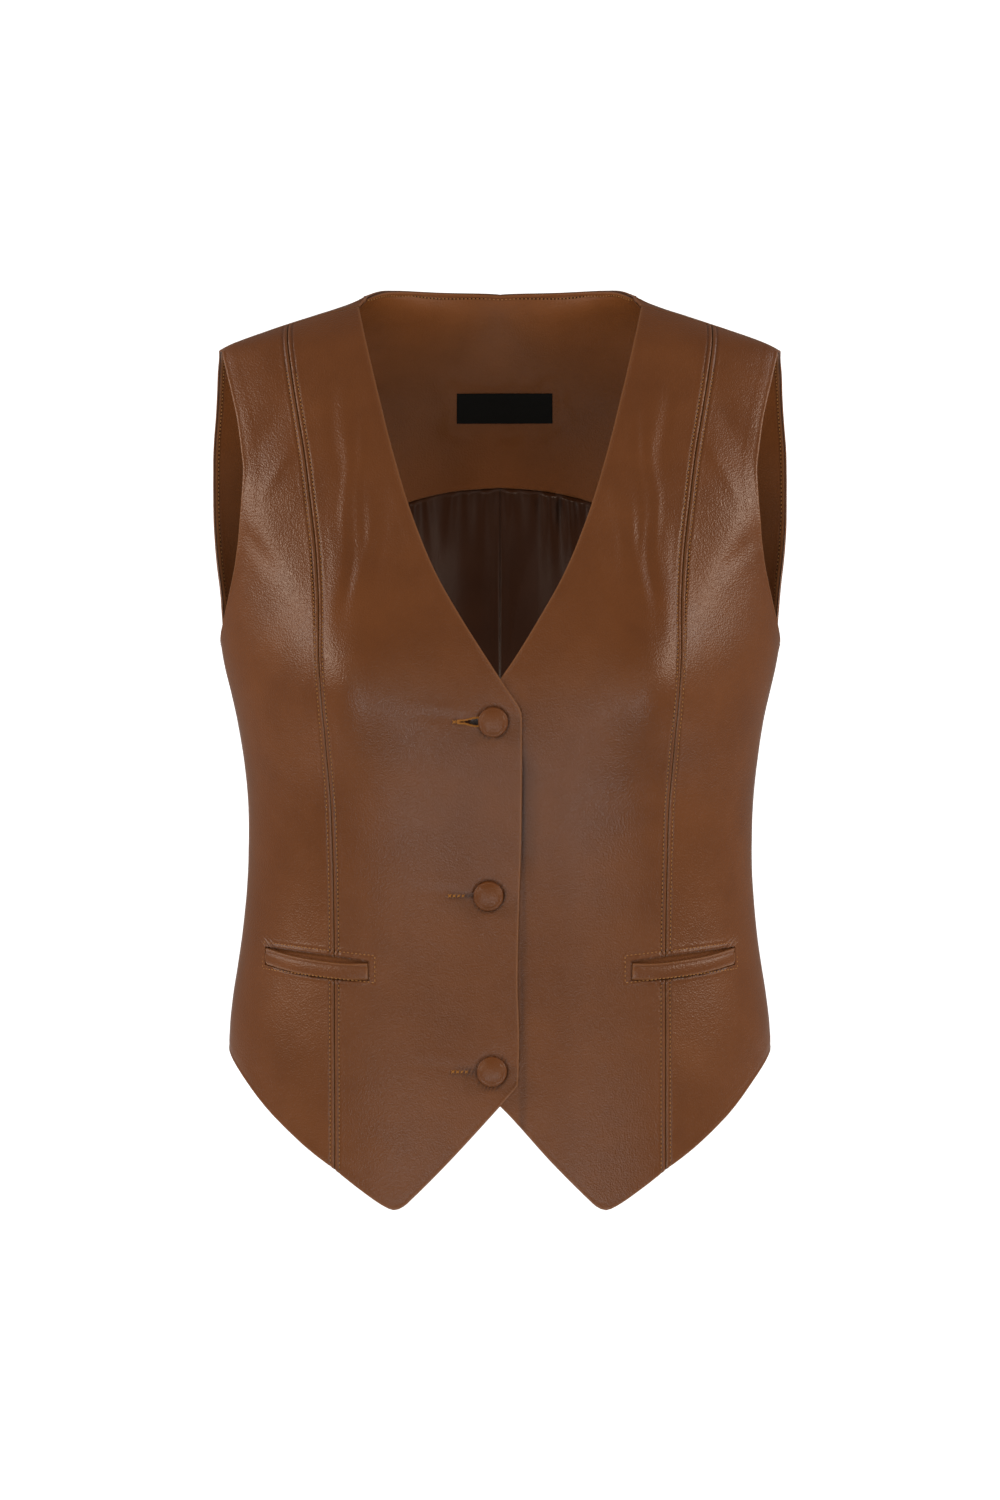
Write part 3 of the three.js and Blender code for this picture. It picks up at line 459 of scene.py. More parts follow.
@dataclass
class Cloth:
    """A grid of points of one piece of cloth on the body, and its distances to its four edges."""

    TANGENT_STEPS = 8
    SINE_BLUR = 9

    points: Array
    u: Array
    v: Array
    normals: Array = field(init=False)
    left: Array = field(init=False)
    right: Array = field(init=False)
    bottom: Array = field(init=False)
    top: Array = field(init=False)

    def __post_init__(self) -> None:
        """Measures the grid."""
        self.normals = BODY.outward(self.points)
        self.left = self._from_edge(self.points)
        self.right = self._from_edge(self.points[:, ::-1])[:, ::-1]
        turned = self.points.transpose(1, 0, 2)
        self.bottom = self._from_edge(turned).T
        self.top = self._from_edge(turned[:, ::-1])[:, ::-1].T

    def _from_edge(self, p: Array) -> Array:
        """Lengths along the rows from the first column, times the sine of the angle that they meet it at."""
        steps = np.linalg.norm(np.diff(p, axis=1), axis=-1)
        run = np.concatenate([np.zeros((len(p), 1)), np.cumsum(steps, axis=1)], axis=1)
        edge = np.gradient(p[:, 0], axis=0)
        way = p[:, min(self.TANGENT_STEPS, p.shape[1] - 1)] - p[:, 0]
        edge /= np.linalg.norm(edge, axis=-1, keepdims=True) + 1e-9
        way /= np.linalg.norm(way, axis=-1, keepdims=True) + 1e-9
        sine = np.sqrt(np.clip(1 - np.sum(edge * way, axis=-1) ** 2, 0.05, 1))
        kernel = np.ones(self.SINE_BLUR) / self.SINE_BLUR
        sine = np.convolve(np.pad(sine, self.SINE_BLUR // 2, mode="edge"), kernel, mode="valid")
        return run * sine[:, None]

    def nearest(self) -> Array:
        """The distance to the nearest edge."""
        return np.minimum(np.minimum(self.left, self.right), np.minimum(self.bottom, self.top))

    def cells(self) -> Array:
        """Each cell's area as a vector along its normal: half the cross product of its diagonals."""
        p = self.points
        return np.cross(p[1:, 1:] - p[:-1, :-1], p[1:, :-1] - p[:-1, 1:]) / 2

    def area(self) -> float:
        """The cloth's area in square metres."""
        return float(np.linalg.norm(self.cells(), axis=-1).sum() * MM**2)

    def flat(self) -> tuple[float, float]:
        """The longest row and column, in metres: the rectangle that a strip is cut from."""
        wide = np.linalg.norm(np.diff(self.points, axis=1), axis=-1).sum(axis=1).max()
        long = np.linalg.norm(np.diff(self.points, axis=0), axis=-1).sum(axis=0).max()
        return float(wide * MM), float(long * MM)

    def panel_flat(self, band: float = 30.0) -> tuple[float, float]:
        """The rectangle that a body panel is cut from, in metres.

        Its width is the widest level run, as a band's upright area over its height. Its length is the
        longest column, or the height where that is more.
        """
        heights = self.points[..., 2]
        z = (heights[1:, 1:] + heights[:-1, :-1]) / 2
        upright = np.linalg.norm(self.cells()[..., :2], axis=-1)
        wide = np.histogram(z, np.arange(z.min(), z.max(), band), weights=upright)[0].max() / band
        return float(wide * MM), max(self.flat()[1], float(np.ptp(heights)) * MM)


def new_piece(name: str, points: Array, quads: Array, replaced: str | None = None) -> bpy.types.Object:
    """A mesh object from arrays, shaded smooth, riding on the root body.

    Args:
        name: the piece's name.
        points: n by 3, in millimetres.
        quads: m by 4 vertex numbers, anticlockwise from outside.
        replaced: the construction's node that it stands for.
    Returns:
        The object, at the origin.
    """
    mesh = bpy.data.meshes.new(name)
    mesh.vertices.add(len(points))
    mesh.vertices.foreach_set("co", (points * MM).astype(np.float32).ravel())
    mesh.loops.add(quads.size)
    mesh.loops.foreach_set("vertex_index", quads.astype(np.int32).ravel())
    mesh.polygons.add(len(quads))
    mesh.polygons.foreach_set("loop_start", np.arange(0, quads.size, 4, dtype=np.int32))
    mesh.polygons.foreach_set("use_smooth", np.ones(len(quads), bool))
    mesh.update(calc_edges=True)
    mesh.validate()
    piece = bpy.data.objects.new(name, mesh)
    bpy.context.scene.collection.objects.link(piece)
    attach(piece, "root")
    if replaced:
        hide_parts(replaced)
    return piece


def grid_quads(rows: int, columns: int, offset: int = 0, flip: bool = False) -> Array:
    """The cells of a grid whose points are numbered row by row."""
    a = (np.arange(rows - 1)[:, None] * columns + np.arange(columns - 1)).ravel() + offset
    cells = np.stack([a, a + 1, a + columns + 1, a + columns], 1)
    return cells[:, ::-1] if flip else cells


def wall(outer: Array, inner: Array) -> tuple[Array, Array]:
    """A closed wall between two grids of one shape: both faces, and a strip round the edge."""
    rows, columns = outer.shape[:2]
    count = rows * columns
    points = np.vstack([outer.reshape(-1, 3), inner.reshape(-1, 3)])
    number = np.arange(count).reshape(rows, columns)
    rim = np.concatenate([number[0, :-1], number[:-1, -1], number[-1, :0:-1], number[:0:-1, 0]])
    after = np.roll(rim, -1)
    strip = np.stack([after, rim, rim + count, after + count], 1)
    quads = np.vstack([grid_quads(rows, columns), grid_quads(rows, columns, count, True), strip])
    middle = ((rows - 1) // 2, (columns - 1) // 2)
    a, b = outer[middle], outer[middle[0], middle[1] + 1]
    c = outer[middle[0] + 1, middle[1]]
    outwards = np.dot(np.cross(b - a, c - a), outer[middle] - inner[middle]) > 0
    return points, quads if outwards else quads[:, ::-1]


def rolled(distance: Array, radius: float) -> Array:
    """How far a face drops as it rolls over an edge: a quarter circle of the radius."""
    t = 1 - np.clip(distance / radius, 0, 1)
    return radius * (1 - np.sqrt(np.clip(1 - t * t, 0, 1)))


def carve(piece: bpy.types.Object, cutters: Sequence[tuple[Array, Array]]) -> None:
    """Cuts closed shapes out of a piece for good.

    Args:
        piece: the piece, closed too.
        cutters: points in millimetres and quads of each shape.
    """
    tools = []
    for number, (points, quads) in enumerate(cutters):
        mesh = bpy.data.meshes.new(f"{piece.name}_cutter_{number}")
        mesh.from_pydata((points * MM).tolist(), [], quads.tolist())
        tool = bpy.data.objects.new(mesh.name, mesh)
        bpy.context.scene.collection.objects.link(tool)
        modifier = piece.modifiers.new(tool.name, "BOOLEAN")
        modifier.operation = "DIFFERENCE"
        modifier.solver = "MANIFOLD"
        modifier.object = tool
        tools.append(tool)
    graph = bpy.context.evaluated_depsgraph_get()
    carved = bpy.data.meshes.new_from_object(piece.evaluated_get(graph), depsgraph=graph)
    piece.modifiers.clear()
    before, piece.data = piece.data, carved
    bpy.data.meshes.remove(before)
    for tool in tools:
        mesh = tool.data
        bpy.data.objects.remove(tool)
        bpy.data.meshes.remove(mesh)
    piece.data.set_sharp_from_angle(angle=math.radians(SHARP_DEGREES))


class Edge(Enum):
    """How an edge is made, which sets the relief beside it."""

    TOPSTITCHED = "seam with a row of topstitch"
    SEAMED = "plain seam"
    TURNED = "turned edge"


STITCH_LINE = 3.0  # from the seam
ROLL_OUTSIDE, ROLL_INSIDE = 0.35, 0.25  # radii of a panel's edges


def edge_relief(kind: Edge, d: Array, p: Array) -> Array:
    """The height of a panel's face beside an edge, a sum of Gaussians and decays in the distance to it.

    A seam falls into a groove and rises over the seam allowance, a topstitched one dips again under the
    thread, and a turned edge is a little thicker as far as its allowance reaches.

    Args:
        kind: the edge.
        d: distances to it, in millimetres.
        p: the points, for unevenness.
    Returns:
        Heights in millimetres.
    """
    uneven = 1 + 0.25 * ripple(p, 14, 5)
    if kind is Edge.TOPSTITCHED:
        pucker = 0.09 * ripple(p, 5.5, 11) * bell(d - STITCH_LINE, 1.8)
        groove = -0.6 * np.exp(-d / 0.45)
        allowance = (0.42 * bell(d - 1.45, 0.9) + 0.14 * bell(d - 4.5, 1.2)) * uneven
        return groove + allowance - 0.34 * bell(d - STITCH_LINE, 0.55) + pucker
    if kind is Edge.SEAMED:
        allowance = 0.10 * bell(d - 1.6, 1.2) * uneven
        return -0.5 * np.exp(-d / 0.5) + allowance + 0.05 * ripple(p, 9, 12) * bell(d, 5)
    bead = 0.16 * bell(d - 1.0, 0.7) - 0.07 * bell(d - 2.9, 1.1)
    allowance = 0.14 * (1 - smoothstep(d, 7.5, 10.5)) * uneven
    return bead + allowance + 0.05 * ripple(p, 16, 13) * bell(d, 8)


@dataclass(frozen=True)
class Fold:
    """A soft ridge, or a trough where its height is below 0, along a line on the fronts."""

    x0: float
    z0: float
    x1: float
    z1: float
    width: float
    height: float


# Beside the neck edge and over the bust, then at the armhole, on the side with x above 0. Both fronts have
# them, each with its own wander.
DRAPE_FOLDS = (
    Fold(92.7, -89.6, 97, -193, 3.2, 0.86),
    Fold(89.6, -128, 92.7, -191, 3, -0.78),
    Fold(101, -150, 101, -217, 5, 0.94),
    Fold(83.6, -78, 87.8, -146, 3.2, 0.69),
    Fold(84.8, -110, 83.6, -170, 3.2, -0.69),
    Fold(78.7, -140, 89, -200, 3.6, 0.86),
    Fold(70, -128, 77.6, -188, 4.2, -0.73),
    Fold(53, -148, 69.7, -206, 5.5, 0.78),
    Fold(104.5, -60, 100, -112, 4, -0.51),
    Fold(97, -56, 94, -104, 4.5, 0.51),
    Fold(159, -112, 133, -66, 9, -1.3),
    Fold(152, -134, 122, -200, 13, 1.2),
    Fold(146, -128, 126, -92, 4, 0.61),
    Fold(158, -150, 134, -176, 5, -0.61),
)


def folds(p: Array) -> Array:
    """The folds' height over points: a Gaussian across each wandering line, fading at both its ends."""
    height = np.zeros(p.shape[:-1])
    shift = ripple(p, 60, 21)
    for fold in DRAPE_FOLDS:
        dx, dz = fold.x1 - fold.x0, fold.z1 - fold.z0
        length = math.hypot(dx, dz)
        rx, rz = np.abs(p[..., 0]) - fold.x0, p[..., 2] - fold.z0
        along = (rx * dx + rz * dz) / length**2
        aside = ((rx * dz - rz * dx) / length + shift) / fold.width
        ends = smoothstep(along, -0.25, 0.3) * (1 - smoothstep(along, 0.65, 1.2))
        height += fold.height * ends * np.exp(-(aside**2))
    return np.where(p[..., 1] > 0, 0, height)


def drape(p: Array) -> Array:
    """The height of the cloth's folds and unevenness over the plain body."""
    slack = 0.30 * ripple(p, 130, 31) + 0.10 * ripple(p, 48, 32) + 0.03 * ripple(p, 17, 33)
    return folds(p) + slack


class Side(Enum):
    """The wearer's side that a piece belongs to."""

    RIGHT = "right"
    LEFT = "left"

    def place(self, p: Array) -> Array:
        """Points made on the half with x above 0, on this side."""
        return p * np.array([-1.0, 1.0, 1.0]) if self is Side.RIGHT else p


def set_attribute(piece: bpy.types.Object, name: str, values: Array) -> None:
    """Writes one number a vertex as a named attribute."""
    layer = piece.data.attributes.new(name, "FLOAT", "POINT")
    layer.data.foreach_set("value", values.astype(np.float32).ravel())


def linear(hex_code: str) -> tuple[float, float, float, float]:
    """An sRGB hex colour as linear red, green, blue and alpha."""
    parts = [int(hex_code[i:i + 2], 16) / 255 for i in (1, 3, 5)]
    return (*[c / 12.92 if c <= 0.04045 else ((c + 0.055) / 1.055) ** 2.4 for c in parts], 1.0)


def add_node(material: bpy.types.Material, kind: str, settings: dict | None = None,
             **inputs: object) -> bpy.types.Node:
    """Adds a node with its settings, its input values and its links.

    Args:
        material: whose node tree it joins.
        kind: the node's type.
        settings: its properties.
        inputs: socket names, with _ for spaces, each a value or another node's output socket.
    Returns:
        The node.
    """
    tree = material.node_tree
    node = tree.nodes.new(kind)
    for key, value in (settings or {}).items():
        setattr(node, key, value)
    for key, value in inputs.items():
        name = key.replace("_", " ")
        numbered = name.startswith("in") and name[2:].isdigit()
        socket = node.inputs[int(name[2:]) if numbered else name]
        if isinstance(value, bpy.types.NodeSocket):
            tree.links.new(value, socket)
        else:
            socket.default_value = value
    return node


def blank_material(name: str) -> tuple[bpy.types.Material, bpy.types.NodeSocket]:
    """A material with an empty node tree, and its Object coordinates, which are the frame's own metres."""
    material = bpy.data.materials.new(name)
    material.use_nodes = True
    material.node_tree.nodes.clear()
    return material, add_node(material, "ShaderNodeTexCoord").outputs["Object"]


def blend(material: bpy.types.Material, factor: bpy.types.NodeSocket, a: object,
          b: object) -> bpy.types.NodeSocket:
    """A colour between a and b, each a colour or another node's output."""
    mix = add_node(material, "ShaderNodeMix", {"data_type": "RGBA"}, Factor=factor, A=a, B=b)
    return mix.outputs["Result"]


def surface(material: bpy.types.Material, constants: dict[str, object],
            **inputs: object) -> bpy.types.Material:
    """Ends a material's tree in a principled shader: constants by socket name, then values and links."""
    shader = add_node(material, "ShaderNodeBsdfPrincipled", **inputs)
    for name, value in constants.items():
        shader.inputs[name].default_value = value
    add_node(material, "ShaderNodeOutputMaterial", Surface=shader.outputs["BSDF"])
    return material


@dataclass(frozen=True)
class FauxLeather:
    """Polyurethane leather cloth: an embossed fine grain under a smooth satin film, so highlights are
    broad and soft with a slight sparkle from the grain."""

    name: str = "polyurethane leather, satin"
    base: str = "#75431B"
    deep: str = "#6B3C17"
    # the lighter tone along the edges, for wear and as a painted highlight on the rolled edge
    light: str = "#95653F"
    # the colour of painted shade: in seam grooves, at the pocket window, and painted shadows beside the
    # fronts' edge and round the buttons
    painted_shade: str = "#2C170B"
    roughness: float = 0.37
    specular: float = 0.52
    grain_mm: float = 0.95
    grain_depth: float = 0.19
    mottle_per_metre: float = 22.0
    swell_per_metre: float = 160.0
    crease_share: float = 0.45  # the fine creases' share of the grain's height, the pebbles being 1
    crease_stretch: float = 0.28  # the creases' scale along Z, so that they run upright
    mottled_from: float = 0.34  # the noise's values between which the tone changes
    mottled_to: float = 0.70
    less_rough: float = 0.03  # how far the mottling changes the roughness each way
    more_rough: float = 0.04

    def make(self) -> bpy.types.Material:
        """Builds the node tree: mottled colour, lighter along the edges for wear and a painted highlight,
        darker where painted shade falls, mottled roughness, pebble grain and fine creases as bump.
        """
        m, where = blank_material(self.name)
        per_metre = 1 / (self.grain_mm * MM)
        mottle = add_node(m, "ShaderNodeTexNoise", Vector=where, Scale=self.mottle_per_metre, Detail=4.0,
                          Roughness=0.6).outputs["Fac"]
        tone = add_node(m, "ShaderNodeValToRGB", Fac=mottle)
        for element, position, colour in zip(tone.color_ramp.elements,
                                             (self.mottled_from, self.mottled_to), (self.deep, self.base)):
            element.position, element.color = position, linear(colour)
        wear, shade = (add_node(m, "ShaderNodeAttribute", {"attribute_name": name}).outputs["Fac"]
                       for name in ("wear", "shade"))
        # lighter along the edges: wear, and a painted highlight
        colour = blend(m, wear, tone.outputs["Color"], linear(self.light))
        # darker where the shade attribute paints shade and shadow
        colour = blend(m, shade, colour, linear(self.painted_shade))
        pebble = add_node(m, "ShaderNodeTexVoronoi", {"feature": "SMOOTH_F1"}, Vector=where, Scale=per_metre)
        stretch = add_node(m, "ShaderNodeMapping", Vector=where, Scale=(1.0, 1.0, self.crease_stretch))
        creases = add_node(m, "ShaderNodeTexNoise", Vector=stretch.outputs["Vector"], Scale=per_metre * 0.7,
                           Detail=3.0, Roughness=0.65)
        soft = add_node(m, "ShaderNodeTexNoise", Vector=where, Scale=self.swell_per_metre, Detail=2.0)
        grain = add_node(m, "ShaderNodeMath", {"operation": "MULTIPLY_ADD"}, in0=creases.outputs["Fac"],
                         in1=self.crease_share, in2=pebble.outputs["Distance"])
        bump = add_node(m, "ShaderNodeBump", Height=grain.outputs["Value"], Distance=0.0004,
                        Strength=self.grain_depth * 3)
        swell = add_node(m, "ShaderNodeBump", Height=soft.outputs["Fac"], Distance=0.0006, Strength=0.10,
                         Normal=bump.outputs["Normal"])
        rough = add_node(m, "ShaderNodeMapRange", Value=mottle, From_Min=0.3, From_Max=0.7,
                         To_Min=self.roughness - self.less_rough, To_Max=self.roughness + self.more_rough)
        return surface(m, {"Specular IOR Level": self.specular}, Base_Color=colour, IOR=1.45,
                       Roughness=rough.outputs["Result"], Normal=swell.outputs["Normal"])


@dataclass(frozen=True)
class Satin:
    """Acetate satin lining: long floats give a soft lengthwise gleam over a dark ground."""

    name: str = "acetate satin"
    base: str = "#3A2012"
    light: str = "#492B18"
    thread_mm: float = 0.5
    roughness: float = 0.36
    specular: float = 0.32
    anisotropic: float = 0.4
    thread_stretch: float = 0.06  # the threads' scale along Z
    cloud_per_metre: float = 35.0

    def make(self) -> bpy.types.Material:
        """Builds the node tree: fine warp lines, drawn coarser than the real 0.1 mm so that they show."""
        m, where = blank_material(self.name)
        lengthwise = add_node(m, "ShaderNodeMapping", Vector=where,
                              Scale=(1.0, 1.0, self.thread_stretch))
        thread = add_node(m, "ShaderNodeTexNoise", Vector=lengthwise.outputs["Vector"],
                          Scale=1 / (self.thread_mm * MM), Detail=2.0)
        cloud = add_node(m, "ShaderNodeTexNoise", Vector=where, Scale=self.cloud_per_metre, Detail=3.0)
        colour = blend(m, cloud.outputs["Fac"], linear(self.base), linear(self.light))
        bump = add_node(m, "ShaderNodeBump", Height=thread.outputs["Fac"], Distance=0.0001, Strength=0.35)
        return surface(m, {"Specular IOR Level": self.specular, "Anisotropic": self.anisotropic},
                       Base_Color=colour, Roughness=self.roughness, Normal=bump.outputs["Normal"])


@dataclass(frozen=True)
class PlainFinish:
    """A small piece's finish, such as thread or a woven tape, with a fine bump of its own."""

    name: str
    base: str
    light: str
    roughness: float
    grain_mm: float
    specular: float = 0.15

    def make(self) -> bpy.types.Material:
        """Builds the node tree: two tones by noise, and a twist or weave as bump."""
        m, where = blank_material(self.name)
        grain = add_node(m, "ShaderNodeTexNoise", Vector=where, Scale=1 / (self.grain_mm * MM),
                         Detail=2.0).outputs["Fac"]
        bump = add_node(m, "ShaderNodeBump", Height=grain, Distance=0.0002, Strength=0.5)
        return surface(m, {"Specular IOR Level": self.specular}, Roughness=self.roughness,
                       Base_Color=blend(m, grain, linear(self.base), linear(self.light)),
                       Normal=bump.outputs["Normal"])


@dataclass(frozen=True)
class BacklitAcrylic:
    """Opal acrylic sheet lit from behind, which gives a shadowless white ground."""

    name: str = "opal acrylic"
    colour: str = "#F6F6F6"
    glow: float = 0.85
    roughness: float = 0.8

    def make(self) -> bpy.types.Material:
        """Builds the node tree."""
        m, _ = blank_material(self.name)
        colour = linear(self.colour)
        return surface(m, {"Emission Color": colour, "Emission Strength": self.glow}, Base_Color=colour,
                       Roughness=self.roughness)


def made(recipe: type, *values: object, **named: object) -> bpy.types.Material:
    """A field whose material is made when the finishes are."""
    return field(default_factory=lambda: recipe(*values, **named).make())


@dataclass
class Finishes:
    """The materials, each made once."""

    leather: bpy.types.Material = made(FauxLeather)
    facing: bpy.types.Material = made(FauxLeather, name="polyurethane leather, facing", base="#834F28",
                                      deep="#794823", roughness=0.46, specular=0.25)
    satin: bpy.types.Material = made(Satin)
    thread: bpy.types.Material = made(PlainFinish, "polyester thread, brown", "#A0703F", "#BF8B55", 0.6, 0.4)
    # painted shade of the needle holes
    hole: bpy.types.Material = made(PlainFinish, "shaded needle hole", "#1C0E06", "#241208", 0.9, 0.5)
    silk: bpy.types.Material = made(PlainFinish, "embroidery thread, tan", "#9A6229", "#BC8340", 0.55, 0.35)
    tape: bpy.types.Material = made(PlainFinish, "damask label tape, black", "#0C0C0B", "#161614", 0.75, 0.3)
    acrylic: bpy.types.Material = made(BacklitAcrylic)


SEAMS = Seams(Cut())


@dataclass
class Outline:
    """A closed or open line of points on the fronts, in the half with x above 0, for distances to it."""

    points: Array

    def distance(self, p: Array, reach: float = 14.0) -> Array:
        """Distances from points to the line, where they are under the reach, and the reach elsewhere."""
        out = np.full(p.shape[:-1], reach)
        low, high = self.points.min(0) - reach, self.points.max(0) + reach
        near = np.all((p > low) & (p < high), axis=-1)
        if near.any():
            q = p[near]
            parts = np.array_split(self.points, 8)
            gaps = [np.linalg.norm(q[:, None] - part, axis=-1).min(1) for part in parts]
            out[near] = np.minimum(np.min(gaps, axis=0), reach)
        return out


@dataclass(frozen=True)
class PocketShape:
    """The pocket's lines as rows of x and z, on the half with x above 0."""

    top: tuple = ((145.2, -404.6), (128.2, -406.6), (104.2, -409.2), (80.2, -412.4))
    welt_top: tuple = ((145.0, -405.1), (125.7, -409.6), (98.6, -412.9), (88.3, -413.2), (80.3, -412.8))
    bottom: tuple = ((145.4, -415.8), (125.4, -420.4), (106.5, -423.0), (93.7, -423.8), (79.9, -423.6))
    stitched: tuple = ((146.4, -401.8), (76.2, -408.5), (76.1, -424.9), (146.8, -418.1))
    facing_margin: float = 7.0
    cutter_reach: float = 4.0  # on each side of the body's surface

    def band(self, low: Sequence, high: Sequence, across: Array, up: Array, inset: float = 0.0) -> Array:
        """A grid between a lower and an upper line, drawn in by inset all round."""
        bottom, top = (Line(BODY.front(*np.array(rows).T)) for rows in (low, high))
        across, up = np.meshgrid(across, up)
        length = bottom.length
        t = inset / length + across * (1 - 2 * inset / length)
        a, b = bottom(t), top(t)
        gap = np.linalg.norm(a - b, axis=-1)
        v = inset / gap + up * (1 - 2 * inset / gap)
        return BODY.settle(a + (b - a) * v[..., None])

    def window(self) -> Outline:
        """The window's outline."""
        grid = self.band(self.bottom, self.top, np.linspace(0, 1, 90), np.linspace(0, 1, 16))
        return Outline(np.concatenate([grid[0], grid[:, -1], grid[-1], grid[:, 0]]))

    def stitching(self) -> list[Array]:
        """The four straight runs of stitching round it."""
        corners = list(self.stitched) + [self.stitched[0]]
        runs = []
        for (x0, z0), (x1, z1) in zip(corners, corners[1:]):
            t = np.linspace(0, 1, 60)
            runs.append(BODY.front(x0 + t * (x1 - x0), z0 + t * (z1 - z0)))
        return runs

    def cutter(self) -> tuple[Array, Array]:
        """The shape that opens the window."""
        grid = self.band(self.bottom, self.top, np.linspace(0, 1, 70), np.linspace(0, 1, 10))
        reach = self.cutter_reach * BODY.outward(grid)
        return wall(grid + reach, grid - reach)


POCKET = PocketShape()
POCKET_WINDOW = POCKET.window()
POCKET_STITCHING = Outline(np.concatenate(POCKET.stitching()))


def in_pocket_stitching(p: Array, margin: float = 0.0) -> Array:
    """Whether points of the half with x above 0 lie inside the pocket's rectangle of stitching."""
    (x0, z0), (x1, z1), (x2, z2), (x3, z3) = POCKET.stitched
    x = p[..., 0]
    share = (x - x1) / (x0 - x1)
    high, low = z1 + share * (z0 - z1), z2 + share * (z3 - z2)
    inside = (p[..., 2] < high + margin) & (p[..., 2] > low - margin) & (x > x1 - margin) & (x < x0 + margin)
    return inside & (p[..., 1] < 0)


def pocket_relief(p: Array) -> Array:
    """The height beside the pocket's window: a roll at its edge, then its stitching's groove and puckers."""
    d, s = POCKET_WINDOW.distance(p), POCKET_STITCHING.distance(p)
    roll = -0.6 * np.exp(-d / 0.45) + 0.45 * bell(d - 1.25, 0.8)
    groove = -0.32 * bell(s, 0.6) + 0.16 * bell(s - 1.6, 0.9)
    return roll + groove + 0.09 * ripple(p, 6.0, 17) * bell(s, 2.4)


@dataclass(frozen=True)
class ButtonholeShape:
    """A buttonhole beside its button: x and z of the seat, and how far it is pulled open."""

    name: str
    x: float
    z: float
    open: float
    tip: float
    length: float = 24.0
    past_shank: float = 2.5
    cutter_reach: float = 20.0  # on each side of the body's surface

    def outline(self) -> Array:
        """Its outline in x and z: shut at the left, opening towards the shank."""
        right = self.x + self.past_shank
        left = right - self.length
        shut, shoulder = left + 0.18 * self.length, left + 0.44 * self.length
        upper = [(left, self.tip), (shut, self.tip + 0.1), (shoulder, self.open), (right, self.open)]
        rows = [(x, self.z + h) for x, h in upper] + [(x, self.z - h) for x, h in reversed(upper)]
        return np.array(rows)

    def dense(self, count: int = 40) -> Array:
        """Points along the outline."""
        rows = self.outline()
        t = np.linspace(0, 1, count)[:, None]
        return np.concatenate([a + (b - a) * t for a, b in zip(rows, np.roll(rows, -1, axis=0))])

    def cutter(self) -> tuple[Array, Array]:
        """The prism that opens it, carried along Y."""
        rows = self.outline()[::-1]
        y = float(BODY.front(self.x, self.z)[1])
        count = len(rows) // 2
        lower, upper = rows[:count], rows[count:][::-1]
        face = np.stack([lower, upper])
        near = np.stack([face[..., 0], np.full(face.shape[:2], y - self.cutter_reach), face[..., 1]], -1)
        return wall(near, near + np.array([0, 2 * self.cutter_reach, 0]))


BUTTONHOLES = (
    ButtonholeShape("button_top", -4.2, -266.6, 2.0, 0.3),
    ButtonholeShape("button_middle", -7.0, -372.0, 0.40, 0.16),
    ButtonholeShape("button_bottom", -4.9, -478.0, 0.30, 0.14),
)


PIT_RINGS = ((0.52, -0.06), (0.36, 0.03), (0.02, 0.05))  # radius and height of each ring of a needle hole
PIT_AHEAD = 0.22  # from the stitch's end
PIT_STRETCH = 1.15  # along the stitching


